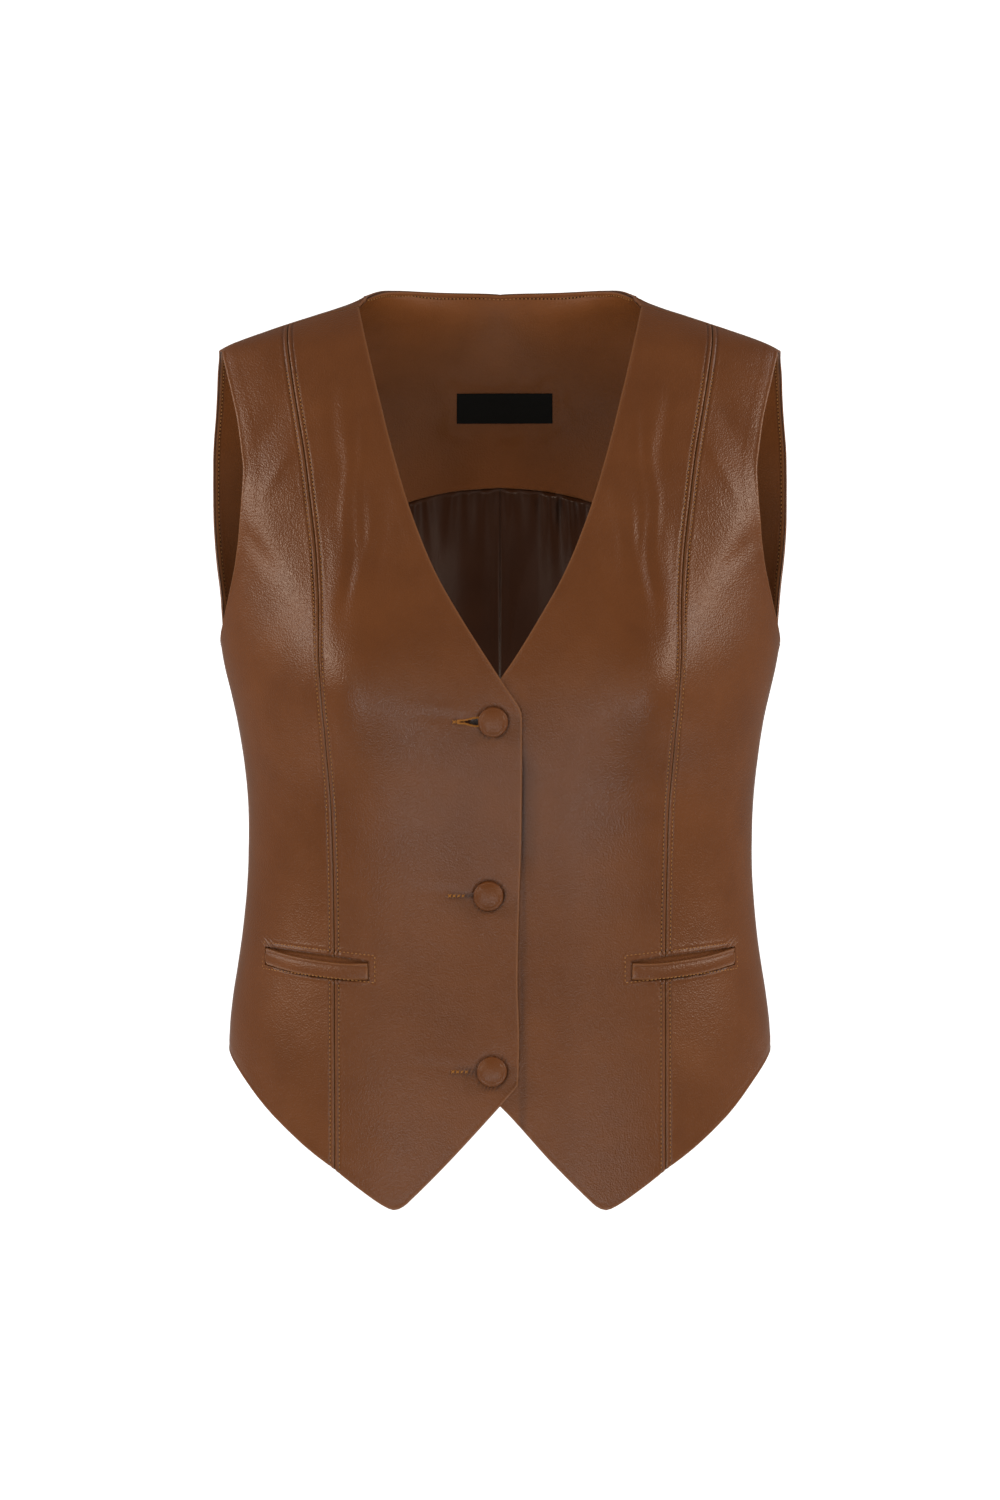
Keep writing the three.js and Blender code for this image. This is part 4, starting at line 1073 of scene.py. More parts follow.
@dataclass
class Threads:
    """Many short stitches gathered into one mesh, with dark domes of painted shade over the needle holes at
    their ends in another.
    """

    name: str
    radius: float = 0.30
    centres: list = field(default_factory=list)
    ways: list = field(default_factory=list)
    ups: list = field(default_factory=list)
    halves: list = field(default_factory=list)
    holes: bool = True

    def run(self, line: Array, normals: Array, pitch: float = 2.65, cover: float = 0.66) -> None:
        """Adds a row of stitches along a line.

        Args:
            line: points on the cloth's face, in millimetres.
            normals: the face's normals there.
            pitch: millimetres from stitch to stitch.
            cover: how much of the pitch shows as thread.
        """
        lengths = np.linalg.norm(np.diff(line, axis=0), axis=1)
        at = np.concatenate([[0], np.cumsum(lengths)])
        count = max(1, int(round(at[-1] / pitch)))
        ends = np.linspace(0, at[-1], count + 1)
        knots = np.stack([np.interp(ends, at, line[:, k]) for k in range(3)], -1)
        middle = (ends[1:] + ends[:-1]) / 2
        ups = np.stack([np.interp(middle, at, normals[:, k]) for k in range(3)], -1)
        ways = knots[1:] - knots[:-1]
        long = np.linalg.norm(ways, axis=1, keepdims=True)
        self.add((knots[1:] + knots[:-1]) / 2, ways / long, ups, long[:, 0] * cover / 2)

    def add(self, centres: Array, ways: Array, ups: Array, halves: Array) -> None:
        """Adds single stitches: their centres, directions, normals and half lengths."""
        self.centres.append(centres)
        self.ways.append(ways)
        self.ups.append(ups)
        self.halves.append(np.broadcast_to(halves, len(centres)))

    def _frames(self) -> tuple[Array, Array, Array, Array]:
        """Every stitch's centre, direction, normal and half length."""
        return tuple(np.concatenate(x) for x in (self.centres, self.ways, self.ups, self.halves))

    @staticmethod
    def _rings(points: Array, inwards: bool = False) -> tuple[Array, Array]:
        """The points of many short tubes, each rings by sides, with the quads between their rings."""
        count, rings, sides = points.shape[:3]
        k = np.arange(sides)
        after = (k + 1) % sides
        first, second = (after, k) if inwards else (k, after)
        ring = np.arange(rings - 1)[:, None] * sides
        quad = np.stack([ring + first, ring + second, ring + second + sides, ring + first + sides], -1)
        offsets = np.arange(count)[:, None, None] * rings * sides
        return points.reshape(-1, 3), (quad.reshape(-1, 4) + offsets).reshape(-1, 4)

    def _tubes(self, sides: int = 6, rings: int = 6) -> tuple[Array, Array]:
        """Every stitch as a short tube that sinks and narrows at both ends."""
        centres, ways, ups, halves = self._frames()
        ups = ups - ways * np.sum(ups * ways, axis=1, keepdims=True)
        ups /= np.linalg.norm(ups, axis=1, keepdims=True)
        aside = np.cross(ways, ups)
        s = np.linspace(-1, 1, rings)
        thick = self.radius * np.sqrt(1 - 0.85 * s**4)
        rise = self.radius * (0.55 - 1.5 * s**4)
        turn = np.arange(sides)[:, None] * 2 * math.pi / sides
        spine = (centres[:, None] + ways[:, None] * (halves[:, None] * s)[..., None]
                 + ups[:, None] * rise[:, None])
        around = aside[:, None] * np.cos(turn) + ups[:, None] * np.sin(turn)
        return self._rings(spine[:, :, None] + around[:, None] * thick[:, None, None])

    def _pits(self, sides: int = 8) -> tuple[Array, Array]:
        """A shallow dark dome over each needle hole, half way between neighbouring stitches: the hole's
        shade, painted.
        """
        centres, ways, ups, halves = self._frames()
        at = centres + ways * (halves + PIT_AHEAD)[:, None]
        aside = np.cross(ways, ups)
        turn = np.arange(sides)[:, None] * 2 * math.pi / sides
        around = aside[:, None] * np.cos(turn) + PIT_STRETCH * ways[:, None] * np.sin(turn)
        return self._rings(np.stack([at[:, None] + ups[:, None] * lift + radius * around
                                     for radius, lift in PIT_RINGS], 1), inwards=True)

    def build(self, thread: bpy.types.Material, hole: bpy.types.Material,
              slot: str) -> list[bpy.types.Object]:
        """Makes the thread and hole pieces."""
        pieces = []
        parts = [(self.name, self._tubes(), thread)]
        if self.holes:
            parts.append((self.name + "_holes", self._pits(), hole))
        for name, (points, quads), material in parts:
            piece = new_piece(name, points, quads)
            piece.data.materials.append(material)
            pieces.append(piece)
        return pieces


Kinds = list[tuple[Edge, Array | float]]


def all_along(kind: Edge) -> Callable[[Cloth], Kinds]:
    """An edge of one kind."""
    return lambda c: [(kind, 1.0)]


seamed, topstitched, turned = (all_along(kind) for kind in (Edge.SEAMED, Edge.TOPSTITCHED, Edge.TURNED))


@dataclass
class Panel:
    """One panel of cloth as a closed wall, its faces shaped by how its edges are made."""

    name: str
    side: Side
    cloth: Cloth
    edges: dict[str, Callable[[Cloth], Kinds]]
    slot: str = "leather"
    thickness: float = SHELL
    depth: float = 0.0
    extra: Callable[[Cloth, Array], Array] | None = None
    # painted shadow that a neighbouring part would cast, over the placed points
    painted_shadow: Callable[[Array], Array] | None = None
    shown_inside: bool = False
    facing_margin: dict[str, float] = field(default_factory=dict)

    def relief(self) -> Array:
        """The relief of the edges, each edge's kinds weighed by where that edge has them."""
        c = self.cloth
        height = np.zeros(c.left.shape)
        for name, kinds in self.edges.items():
            for kind, weight in kinds(c):
                height = height + weight * edge_relief(kind, getattr(c, name), c.points)
        return height

    def creases(self) -> Array:
        """How dark each point is painted, 0 to 1: painted shade in the seams' grooves, in the topstitching's
        dip and at the pocket window's edge, and any painted shadow that the panel is given.
        """
        c = self.cloth
        # painted shade at the pocket window's edge
        dark = 0.75 * bell(POCKET_WINDOW.distance(c.points), 0.7)
        if self.painted_shadow:
            dark = np.maximum(dark, self.painted_shadow(self.side.place(c.points)))
        for name, kinds in self.edges.items():
            d = getattr(c, name)
            for kind, weight in kinds(c):
                # painted shade in the seam's groove and in the dip under the stitching
                if kind in (Edge.TOPSTITCHED, Edge.SEAMED):
                    dark = np.maximum(dark, weight * 0.6 * bell(d, 0.5))
                if kind is Edge.TOPSTITCHED:
                    dark = np.maximum(dark, weight * 0.30 * bell(d - STITCH_LINE, 0.55))
        return dark

    def faces(self) -> tuple[Array, Array]:
        """The outer and the inner face, on the half that the cloth was made in."""
        c = self.cloth
        base = drape(self.side.place(c.points)) - self.depth
        if self.extra:
            base = base + self.extra(c, self.side.place(c.points))
        near = c.nearest()
        relief = self.relief()
        front, back = (0.0, relief) if self.shown_inside else (relief, 0.0)
        outer = base + front - rolled(near, ROLL_OUTSIDE)
        inner = base - self.thickness - back + rolled(near, ROLL_INSIDE)
        outer, inner = (c.points + c.normals * height[..., None] for height in (outer, inner))
        return outer, inner

    def build(self, outside: bpy.types.Material, inside: bpy.types.Material,
              cutters: Sequence[tuple[Array, Array]] = ()) -> bpy.types.Object:
        """Makes the piece, replacing its construction node.

        Args:
            outside: the outer face's material, which the inner face has too within its facing margins.
            inside: the inner face's material.
            cutters: shapes to cut out of it, placed on its side.
        Returns:
            The object.
        """
        outer, inner = (self.side.place(face) for face in self.faces())
        points, quads = wall(outer, inner)
        piece = new_piece(self.name + "_cloth", points, quads, self.name)
        c = self.cloth
        cells = (c.left.shape[0] - 1) * (c.left.shape[1] - 1)
        lined = np.ones(c.left.shape, bool)
        for name, margin in self.facing_margin.items():
            lined &= getattr(c, name) > margin
        numbers = np.zeros(len(quads), np.int32)
        numbers[cells:2 * cells] = lined[:-1, :-1].ravel()
        piece.data.materials.append(outside)
        piece.data.materials.append(inside)
        piece.data.polygons.foreach_set("material_index", numbers)
        # lighter along every edge, for wear and as a painted highlight on the rolled edge; darker where
        # painted shade falls
        edge, dark = 0.5 * bell(c.nearest() - 0.5, 0.5), self.creases()
        set_attribute(piece, "wear", np.concatenate([edge.ravel(), edge.ravel()]))
        set_attribute(piece, "shade", np.concatenate([dark.ravel(), dark.ravel()]))
        if cutters:
            carve(piece, cutters)
        wide, long = c.panel_flat()
        min(c.area(), wide * long)
        return piece


def steps(start: float, stop: float, size: float) -> tuple[float, ...]:
    """Distances from start to stop, about size apart, without the first."""
    count = max(1, round((stop - start) / size))
    return tuple(start + (stop - start) * (i + 1) / count for i in range(count))


@dataclass(frozen=True)
class Mesh:
    """How the lines of a grid lie across or up a piece.

    Args:
        near, far: millimetres from its first and its last edge.
        middle: how many lines between those.
        focus: (low, high, weight) fractions of the length, over which lines are that much closer.
    """

    near: Sequence[float]
    far: Sequence[float]
    middle: int
    focus: tuple = ()

    def fractions(self, length: float) -> Array:
        """The lines' places as fractions of a length."""
        scale = min(1.0, length / (self.near[-1] + self.far[-1] + 6.0))
        low = np.array(self.near) * scale / length
        high = 1 - np.array(self.far[::-1]) * scale / length
        t = np.linspace(low[-1], high[0], 2000)
        density = np.ones_like(t)
        for start, stop, weight in self.focus:
            soft = 0.012
            inside = smoothstep(t, start - soft, start) * (1 - smoothstep(t, stop, stop + soft))
            density += (weight - 1) * inside
        run = np.concatenate([[0], np.cumsum((density[1:] + density[:-1]) / 2)])
        inner = np.interp(np.linspace(0, run[-1], self.middle + 2)[1:-1], run, t)
        return np.concatenate([low, inner, high])


def make_cloth(left: Curve, right: Curve, bottom: Curve, top: Curve, across: Mesh, up: Mesh,
               heart: Array | None = None) -> Cloth:
    """A cloth grid whose lines gather where the relief is fine."""
    at = np.linspace(0, 1, 25)
    rough = coons(left, right, bottom, top, *np.meshgrid(at, at), heart)
    row_lengths = np.linalg.norm(np.diff(rough, axis=1), axis=-1).sum(axis=1)
    column_lengths = np.linalg.norm(np.diff(rough, axis=0), axis=-1).sum(axis=0)
    middle_v = up.fractions(float(np.median(column_lengths)))
    middle_u = across.fractions(float(np.median(row_lengths)))
    u = np.stack([across.fractions(length) for length in np.interp(middle_v, at, row_lengths)])
    v = np.stack([up.fractions(length) for length in np.interp(middle_u, at, column_lengths)], axis=1)
    return Cloth(coons(left, right, bottom, top, u, v, heart), u, v)


# Distances of a grid's lines from a sewn edge and from a free one, and the rows that gather at the pocket.
SEWN = (0.0, 0.06, 0.16, 0.32, 0.55, 0.85, 1.2, 1.6, 2.0, 2.45, 2.8, 3.15, 3.6, 4.2, 5.0, 6.2, 8.0)
FREE = (0.0, 0.06, 0.16, 0.32, 0.55, 0.85, 1.3, 1.9, 2.6, 3.4, 4.4, 5.6, 7.0, 8.5, 10.0)
POCKET_ROWS = ((0.17, 0.285, 4.5),)
FRONT_FACING, HEM_FACING = 48, 28  # widths of leather inside the front edge and the hem


@dataclass
class Fronts:
    """The two centre fronts and the two side fronts, with their topstitching and buttonholes."""

    laps: dict = field(default_factory=lambda: {Side.RIGHT: 0.0, Side.LEFT: 5.0})
    underlap_drop: float = 2.0
    underlap_flat_x: float = 15.0
    underlap_end_x: float = 46.0
    stitch_end_z: float = -47.0

    def lower_front(self, c: Cloth, p: Array) -> Array:
        """How far the lower front is pushed in: whole under the upper one, then easing out."""
        under = -self.underlap_drop * (1 - smoothstep(p[..., 0], self.underlap_flat_x, self.underlap_end_x))
        between = smoothstep(p[..., 2], -366, -345) * (1 - smoothstep(p[..., 2], -300, -280))
        under = under - 1.6 * between * bell(p[..., 0] - 14, 9)
        hole = BUTTONHOLES[0]
        under = under - 2.5 * bell(p[..., 2] - hole.z, 6) * bell(p[..., 0] - hole.x + 11, 9)
        return under + pocket_relief(c.points)

    def upper_front(self, c: Cloth, p: Array) -> Array:
        """The pocket's relief and the dimples round the buttons."""
        return pocket_relief(c.points) + self.dimples(p)

    @staticmethod
    def dimples(p: Array) -> Array:
        """How each button presses the upper front in, and the crease that it pulls along its buttonhole."""
        height = np.zeros(p.shape[:-1])
        for hole in BUTTONHOLES:
            dx, dz = p[..., 0] - hole.x, p[..., 2] - hole.z
            round_ = np.hypot(dx, dz)
            height = height - 1.2 * np.exp(-(dx / 13) ** 2 - (dz / 9.5) ** 2)
            height = height + 0.25 * bell(round_ - 13, 2.6) * np.cos(3 * np.arctan2(dz, dx) + hole.z)
            pull = smoothstep(-dx, 8, 22) * (1 - smoothstep(-dx, 32, 62))
            fold = bell(dz + 0.10 * dx, 2.4) - 0.6 * bell(dz + 0.10 * dx - 5.0, 2.6)
            height = height - 0.75 * pull * fold * (0.4 + 0.3 * hole.open)
            if hole.name != "button_top":
                along = smoothstep(-dx, -2, 0) * (1 - smoothstep(-dx, 20, 21.5))
                height = height - 0.45 * bell(dz, 0.5) * along
        return height

    @staticmethod
    def under_edge(p: Array) -> Array:
        """How dark the lower front is painted: a painted shadow beside the upper one's edge, wider between
        the top two buttons, and painted shade seen through the first buttonhole.
        """
        x, z = p[..., 0], p[..., 2]
        below = 1 - smoothstep(z, -268, -256)
        between = smoothstep(z, -366, -335) * (1 - smoothstep(z, -300, -275))
        hole = BUTTONHOLES[0]
        # painted shade in the first buttonhole's slit
        slit = bell(z - hole.z, 5.0) * smoothstep(-x, -4, 2)
        # painted shadow beside the upper front's edge
        edge_tone = 0.50 * bell(x - 13.8, 1.3) + 0.30 * between * bell(x - 15, 4.5)
        return np.maximum(below * edge_tone, 0.95 * slit)

    @staticmethod
    def under_button(p: Array) -> Array:
        """How dark the upper front is painted: the painted shadow that each button casts round its rim,
        heavier at its lower right, and painted shade in the shut buttonholes.
        """
        dark = np.zeros(p.shape[:-1])
        for hole in BUTTONHOLES:
            dx, dz = p[..., 0] - hole.x, p[..., 2] - hole.z
            # painted shadow heavier towards the lower right, as if lit from the upper left
            low_right = 0.75 + 0.25 * (dx - dz) / (np.hypot(dx, dz) + 1.0)
            dark = np.maximum(dark, 0.80 * low_right * bell(np.hypot(dx, dz) - 9.0, 1.1))
            # painted shade along the buttonhole's slit
            slit = bell(dz, 1.2) * (1 - smoothstep(-dx, 23, 26)) * (dx < 0)
            dark = np.maximum(dark, 0.8 * slit)
        return dark

    def side_front(self, c: Cloth, p: Array) -> Array:
        """The pocket's relief."""
        return pocket_relief(c.points)

    def centre(self, side: Side) -> Panel:
        """A centre front, from the front edge to the princess seam."""
        lap = self.laps[side]
        cloth = make_cloth(
            SEAMS.front_edge(lap), SEAMS.princess, SEAMS.centre_hem(lap),
            part_of(SEAMS.shoulder, 1.0, 1 - SEAMS.cut.shoulder_split),
            Mesh(FREE, SEWN + steps(8, 32, 0.8), 34), Mesh(FREE, SEWN, 300, POCKET_ROWS),
        )
        edges = {"right": topstitched, "left": turned, "bottom": turned, "top": seamed}
        left = side is Side.LEFT
        return Panel(f"front_centre_{side.value}", side, cloth, edges,
                     extra=self.lower_front if left else self.upper_front,
                     painted_shadow=self.under_edge if left else self.under_button,
                     facing_margin={"left": FRONT_FACING, "bottom": HEM_FACING, "top": 20})

    def flank(self, side: Side) -> Panel:
        """A side front, from the princess seam to the side seam and armhole."""
        cloth = make_cloth(
            SEAMS.princess, chain(SEAMS.side, SEAMS.front_armhole, SEAMS.cut.armpit_at), SEAMS.side_hem(),
            part_of(SEAMS.shoulder, 1 - SEAMS.cut.shoulder_split, 0.0),
            Mesh(SEWN + steps(8, 56, 1.0), FREE, 10), Mesh(FREE, SEWN, 300, POCKET_ROWS),
        )

        def right(c: Cloth) -> Kinds:
            open_part = smoothstep(c.v, SEAMS.cut.armpit_at - 0.004, SEAMS.cut.armpit_at + 0.004)
            return [(Edge.SEAMED, 1 - open_part), (Edge.TURNED, open_part)]

        edges = {"left": topstitched, "right": right, "bottom": turned, "top": seamed}
        return Panel(f"front_side_{side.value}", side, cloth, edges, extra=self.side_front,
                     facing_margin={"bottom": HEM_FACING, "top": 45})

    def topstitch(self, panel: Panel, edge: str, threads: Threads) -> None:
        """Sews the row beside the princess seam on one panel, leaving out the pocket and the shoulder."""
        outer, _ = panel.faces()
        line, along = at_distance(panel.cloth, edge, STITCH_LINE, outer)
        here, normals = along
        keep = (here[:, 2] < self.stitch_end_z) & ~in_pocket_stitching(here, 0.6)
        for block in np.split(np.arange(len(line)), np.flatnonzero(np.diff(keep.astype(int))) + 1):
            if keep[block[0]] and len(block) > 6:
                threads.run(panel.side.place(line[block]), panel.side.place(normals[block]))

    def build(self, finishes: Finishes) -> list[bpy.types.Object]:
        """Makes the panels, the threads and the worked buttonholes."""
        pieces = []
        window = POCKET.cutter()
        for side in Side:
            threads = Threads(f"topstitch_{side.value}")
            cutters = [(side.place(window[0]), window[1] if side is Side.LEFT else window[1][:, ::-1])]
            centre, flank = self.centre(side), self.flank(side)
            holes = [hole.cutter() for hole in BUTTONHOLES[:1]] if side is Side.RIGHT else []
            pieces.append(centre.build(finishes.leather, finishes.satin, cutters + holes))
            pieces.append(flank.build(finishes.leather, finishes.satin, cutters))
            self.topstitch(centre, "right", threads)
            self.topstitch(flank, "left", threads)
            for run in POCKET.stitching():
                placed = side.place(run)
                lift = drape(placed) + pocket_relief(run)
                normals = side.place(BODY.outward(run))
                threads.run(placed + normals * lift[:, None], normals)
            pieces += threads.build(finishes.thread, finishes.hole, "leather")
        pieces += self.worked_holes(finishes)
        return pieces

    def worked_holes(self, finishes: Finishes) -> list[bpy.types.Object]:
        """The crosses that close each buttonhole's inner end, and the purl stitches round the open one."""
        threads = Threads("buttonhole_thread", radius=0.36, holes=False)
        for hole in BUTTONHOLES:
            crosses = 2 if hole is BUTTONHOLES[0] else 4
            at = hole.x - 23.5 + 2.7 * np.arange(crosses)
            for slant in (1.0, -1.0):
                self._stitches(threads, np.stack([at, np.full(crosses, hole.z)], -1),
                               np.array([[1.0, 0.95 * slant]]) / 1.38, 1.55, 0.10 * (1 + slant))
        hole = BUTTONHOLES[0]
        rows = hole.dense(60)
        at = np.concatenate([[0], np.cumsum(np.linalg.norm(np.diff(rows, axis=0), axis=1))])
        even = np.arange(0, at[-1], 0.62)
        flat = np.stack([np.interp(even, at, rows[:, k]) for k in range(2)], -1)
        ahead = np.stack([np.interp(even + 0.2, at, rows[:, k]) for k in range(2)], -1) - flat
        outward = np.stack([-ahead[:, 1], ahead[:, 0]], -1)
        outward /= np.linalg.norm(outward, axis=1, keepdims=True) + 1e-9
        from_hole = flat - np.array([hole.x - 8, hole.z])
        outward *= np.sign(np.sum(outward * from_hole, axis=1, keepdims=True) + 1e-9)
        self._stitches(threads, flat + outward * 0.55, outward, 0.7 + 0.12 * np.sin(even * 7.3), 0.05)
        return threads.build(finishes.silk, finishes.hole, "leather")

    def _stitches(self, threads: Threads, middle: Array, way: Array, halves: Array | float,
                  lift: float) -> None:
        """Adds stitches on the upper front at x and z, each along its way in x and z."""
        p = BODY.front(middle[:, 0], middle[:, 1])
        ways = BODY.front(*(middle + way * 0.1).T) - p
        ways /= np.linalg.norm(ways, axis=1, keepdims=True)
        normals = BODY.outward(p)
        height = drape(p) + self.dimples(p) + lift
        threads.add(p + normals * height[:, None], ways, normals, halves)


def at_distance(c: Cloth, edge: str, distance: float, face: Array) -> tuple[Array, tuple[Array, Array]]:
    """The line of a face that runs at a distance from one edge.

    Args:
        c: the cloth.
        edge: left, right, bottom or top.
        distance: in millimetres.
        face: the face's points, in the cloth's grid.
    Returns:
        The face's points, then the cloth's own points and normals there.
    """
    d = getattr(c, edge)
    grids = [face, c.points, c.normals]
    if edge in ("left", "right"):
        d, grids = d.T, [g.transpose(1, 0, 2) for g in grids]
    if edge in ("right", "top"):
        d, grids = d[::-1], [g[::-1] for g in grids]
    i = int(np.searchsorted(np.median(d, axis=1), distance)) - 1
    share = np.clip((distance - d[i]) / (d[i + 1] - d[i]), -0.5, 1.5)[:, None]
    line, here, normals = (g[i] + (g[i + 1] - g[i]) * share for g in grids)
    return line, (here, normals / np.linalg.norm(normals, axis=1, keepdims=True))


@dataclass
class Back:
    """The two back halves with the facing, the lining and the label inside them."""

    heart: tuple = (0.0, 0.0, -200.0)
    facing_centre_z: float = -112.5
    hem_z: float = -472.0
    neck_z: float = 10.6
    lining_hem_mm: float = 14.0
    facing_depth: float = SHELL + SEAM_GAP
    label_size: tuple = (62.5, 19.5)
    label_at: tuple = (3.0, -61.0)

    def above(self) -> Cloth:
        """The back above the facing's lower edge."""
        cut = SEAMS.cut
        crown = chain(SEAMS.shoulder, SEAMS.back_neck,
                      (cut.shoulder_to - cut.shoulder_from) / (1 - cut.shoulder_from))
        return make_cloth(
            SEAMS.side_seam(cut.facing_side_z, cut.armpit_z),
            SEAMS.centre_back(self.facing_centre_z, self.neck_z),
            SEAMS.facing_hem, chain(SEAMS.back_armhole, crown, cut.shoulder_from),
            Mesh(FREE, FREE, 110), Mesh(FREE, FREE, 60), np.array(self.heart),
        )

    def below(self) -> Cloth:
        """The back below the facing's lower edge."""
        cut = SEAMS.cut
        return make_cloth(
            SEAMS.side_seam(cut.side_hem_z, cut.facing_side_z),
            SEAMS.centre_back(self.hem_z, self.facing_centre_z),
            SEAMS.back_hem, SEAMS.facing_hem, Mesh(FREE, FREE, 110), Mesh(FREE, FREE, 90),
        )

    @staticmethod
    def crown(c: Cloth, free: Edge) -> Kinds:
        """The top edge's kinds: seamed at the shoulder, and the free kind at the armhole and neck."""
        cut = SEAMS.cut
        ends = [smoothstep(c.u, at - 0.01, at + 0.01) for at in (cut.shoulder_from, cut.shoulder_to)]
        seam = ends[0] * (1 - ends[1])
        return [(Edge.SEAMED, seam), (free, 1 - seam)]

    def puckers(self, c: Cloth, p: Array) -> Array:
        """The facing's unevenness, and how the label's stitches pull it in along the label's edge."""
        dx = np.abs(p[..., 0] - self.label_at[0]) - self.label_size[0] / 2
        dz = np.abs(p[..., 2] - self.label_at[1]) - self.label_size[1] / 2
        away = np.hypot(np.maximum(dx, 0), np.maximum(dz, 0))
        clear = smoothstep(away, 0.3, 5) * smoothstep(c.top, 8, 30)
        pulled = 0.55 * (1 + ripple(p, 15, 71)) * bell(away - 7, 6)
        return -clear * np.clip(0.30 * (1 + ripple(p, 45, 72)) + pulled, 0, 2.2)

    @staticmethod
    def pleats(c: Cloth, p: Array) -> Array:
        """The lining's fullness, gathered into small pleats at the facing that fall out lower down."""
        x, d = p[..., 0], c.top
        rng = np.random.default_rng(8)
        height = np.zeros(x.shape)
        for centre in np.concatenate([np.arange(-96, 100, 13.0), [27.0, 34.0, 41.0, 48.0, 55.0]]):
            lean = rng.uniform(-0.12, 0.12)
            wide, tall = rng.uniform(2.0, 4.2), rng.uniform(1.0, 2.8)
            fall = rng.uniform(18, 42)
            across = x - centre - rng.uniform(-4, 4) - lean * d
            height += tall * bell(across, wide + 0.06 * d) * np.exp(-d / fall)
        seam = np.minimum(1, np.abs(x) / 6)
        waves = 0.8 * (1 + ripple(p * np.array([1, 1, 0.18]), 34, 41)) * smoothstep(d, 4, 60)
        return -np.clip((height * smoothstep(d, 0, 2.5) + waves) * seam, 0, 3.6)

    def build(self, finishes: Finishes) -> list[bpy.types.Object]:
        """Makes the back halves, the facing, the lining and the label."""
        pieces = []
        above, below = self.above(), self.below()
        whole = Cloth(np.concatenate([below.points[:-1], above.points]),
                      np.concatenate([below.u[:-1], above.u]), np.concatenate([below.v[:-1], 1 + above.v]))
        edges = {"left": seamed, "right": seamed, "bottom": turned,
                 "top": lambda c: self.crown(c, Edge.TURNED)}
        first = int(np.argmax(below.bottom[:, 0] > self.lining_hem_mm))
        lining = Cloth(below.points[first:], below.u[first:], below.v[first:])
        for side in Side:
            panel = Panel(f"back_{side.value}", side, whole, edges, facing_margin={"bottom": HEM_FACING})
            pieces.append(panel.build(finishes.leather, finishes.satin))
            lined = Panel(f"back_lining_{side.value}", side, lining,
                          {"left": seamed, "right": seamed, "top": seamed}, slot="lining", thickness=0.5,
                          depth=self.facing_depth, extra=self.pleats, shown_inside=True)
            pieces.append(lined.build(finishes.satin, finishes.satin))
        pieces += self.facing(above, finishes)
        pieces.append(self.label(finishes))
        return pieces

    def facing(self, above: Cloth, finishes: Finishes) -> list[bpy.types.Object]:
        """The facing from armhole to armhole, with its understitching."""
        other = above.points * np.array([-1.0, 1.0, 1.0])
        cloth = Cloth(np.concatenate([other[:, :-1], above.points[:, ::-1]], axis=1),
                      np.concatenate([above.u[:, :-1], above.u[:, ::-1]], axis=1),
                      np.concatenate([above.v[:, :-1], above.v[:, ::-1]], axis=1))
        edges = {"left": seamed, "right": seamed, "bottom": seamed,
                 "top": lambda c: self.crown(c, Edge.TOPSTITCHED)}
        panel = Panel("back_facing", Side.LEFT, cloth, edges, slot="facing_leather", thickness=FACING,
                      depth=self.facing_depth, extra=self.puckers, shown_inside=True)
        pieces = [panel.build(finishes.facing, finishes.facing)]
        _, inner = panel.faces()
        line, (_, normals) = at_distance(cloth, "top", STITCH_LINE, inner)
        threads = Threads("understitching")
        u = cloth.u[-1]
        free = (u < SEAMS.cut.shoulder_from - 0.01) | (u > SEAMS.cut.shoulder_to + 0.01)
        for block in np.split(np.arange(len(line)), np.flatnonzero(np.diff(free.astype(int))) + 1):
            if free[block[0]] and len(block) > 6:
                threads.run(line[block], -normals[block])
        return pieces + threads.build(finishes.thread, finishes.hole, "facing_leather")

    def label(self, finishes: Finishes) -> bpy.types.Object:
        """The bare woven label on the facing."""
        wide, tall = self.label_size
        x = self.label_at[0] + np.linspace(-wide / 2, wide / 2, 90)
        z = self.label_at[1] + np.linspace(-tall / 2, tall / 2, 36)
        p = BODY.back(*np.meshgrid(x, z))
        u, v = np.meshgrid(np.linspace(0, 1, 90), np.linspace(0, 1, 36))
        cloth = Cloth(p, u, v)
        near = cloth.nearest()
        rise = 0.35 * smoothstep(np.minimum(cloth.left, cloth.right), 1.5, 9) + 0.12 * ripple(p, 24, 51)
        out = self.facing_depth + FACING + 0.1 + rise - drape(p)
        face = p - cloth.normals * out[..., None]
        front = face - cloth.normals * (0.45 - rolled(near, 0.2))[..., None]
        points, quads = wall(face, front)
        piece = new_piece("neck_label_tape", points, quads, "neck_label")
        piece.data.materials.append(finishes.tape)
        return piece


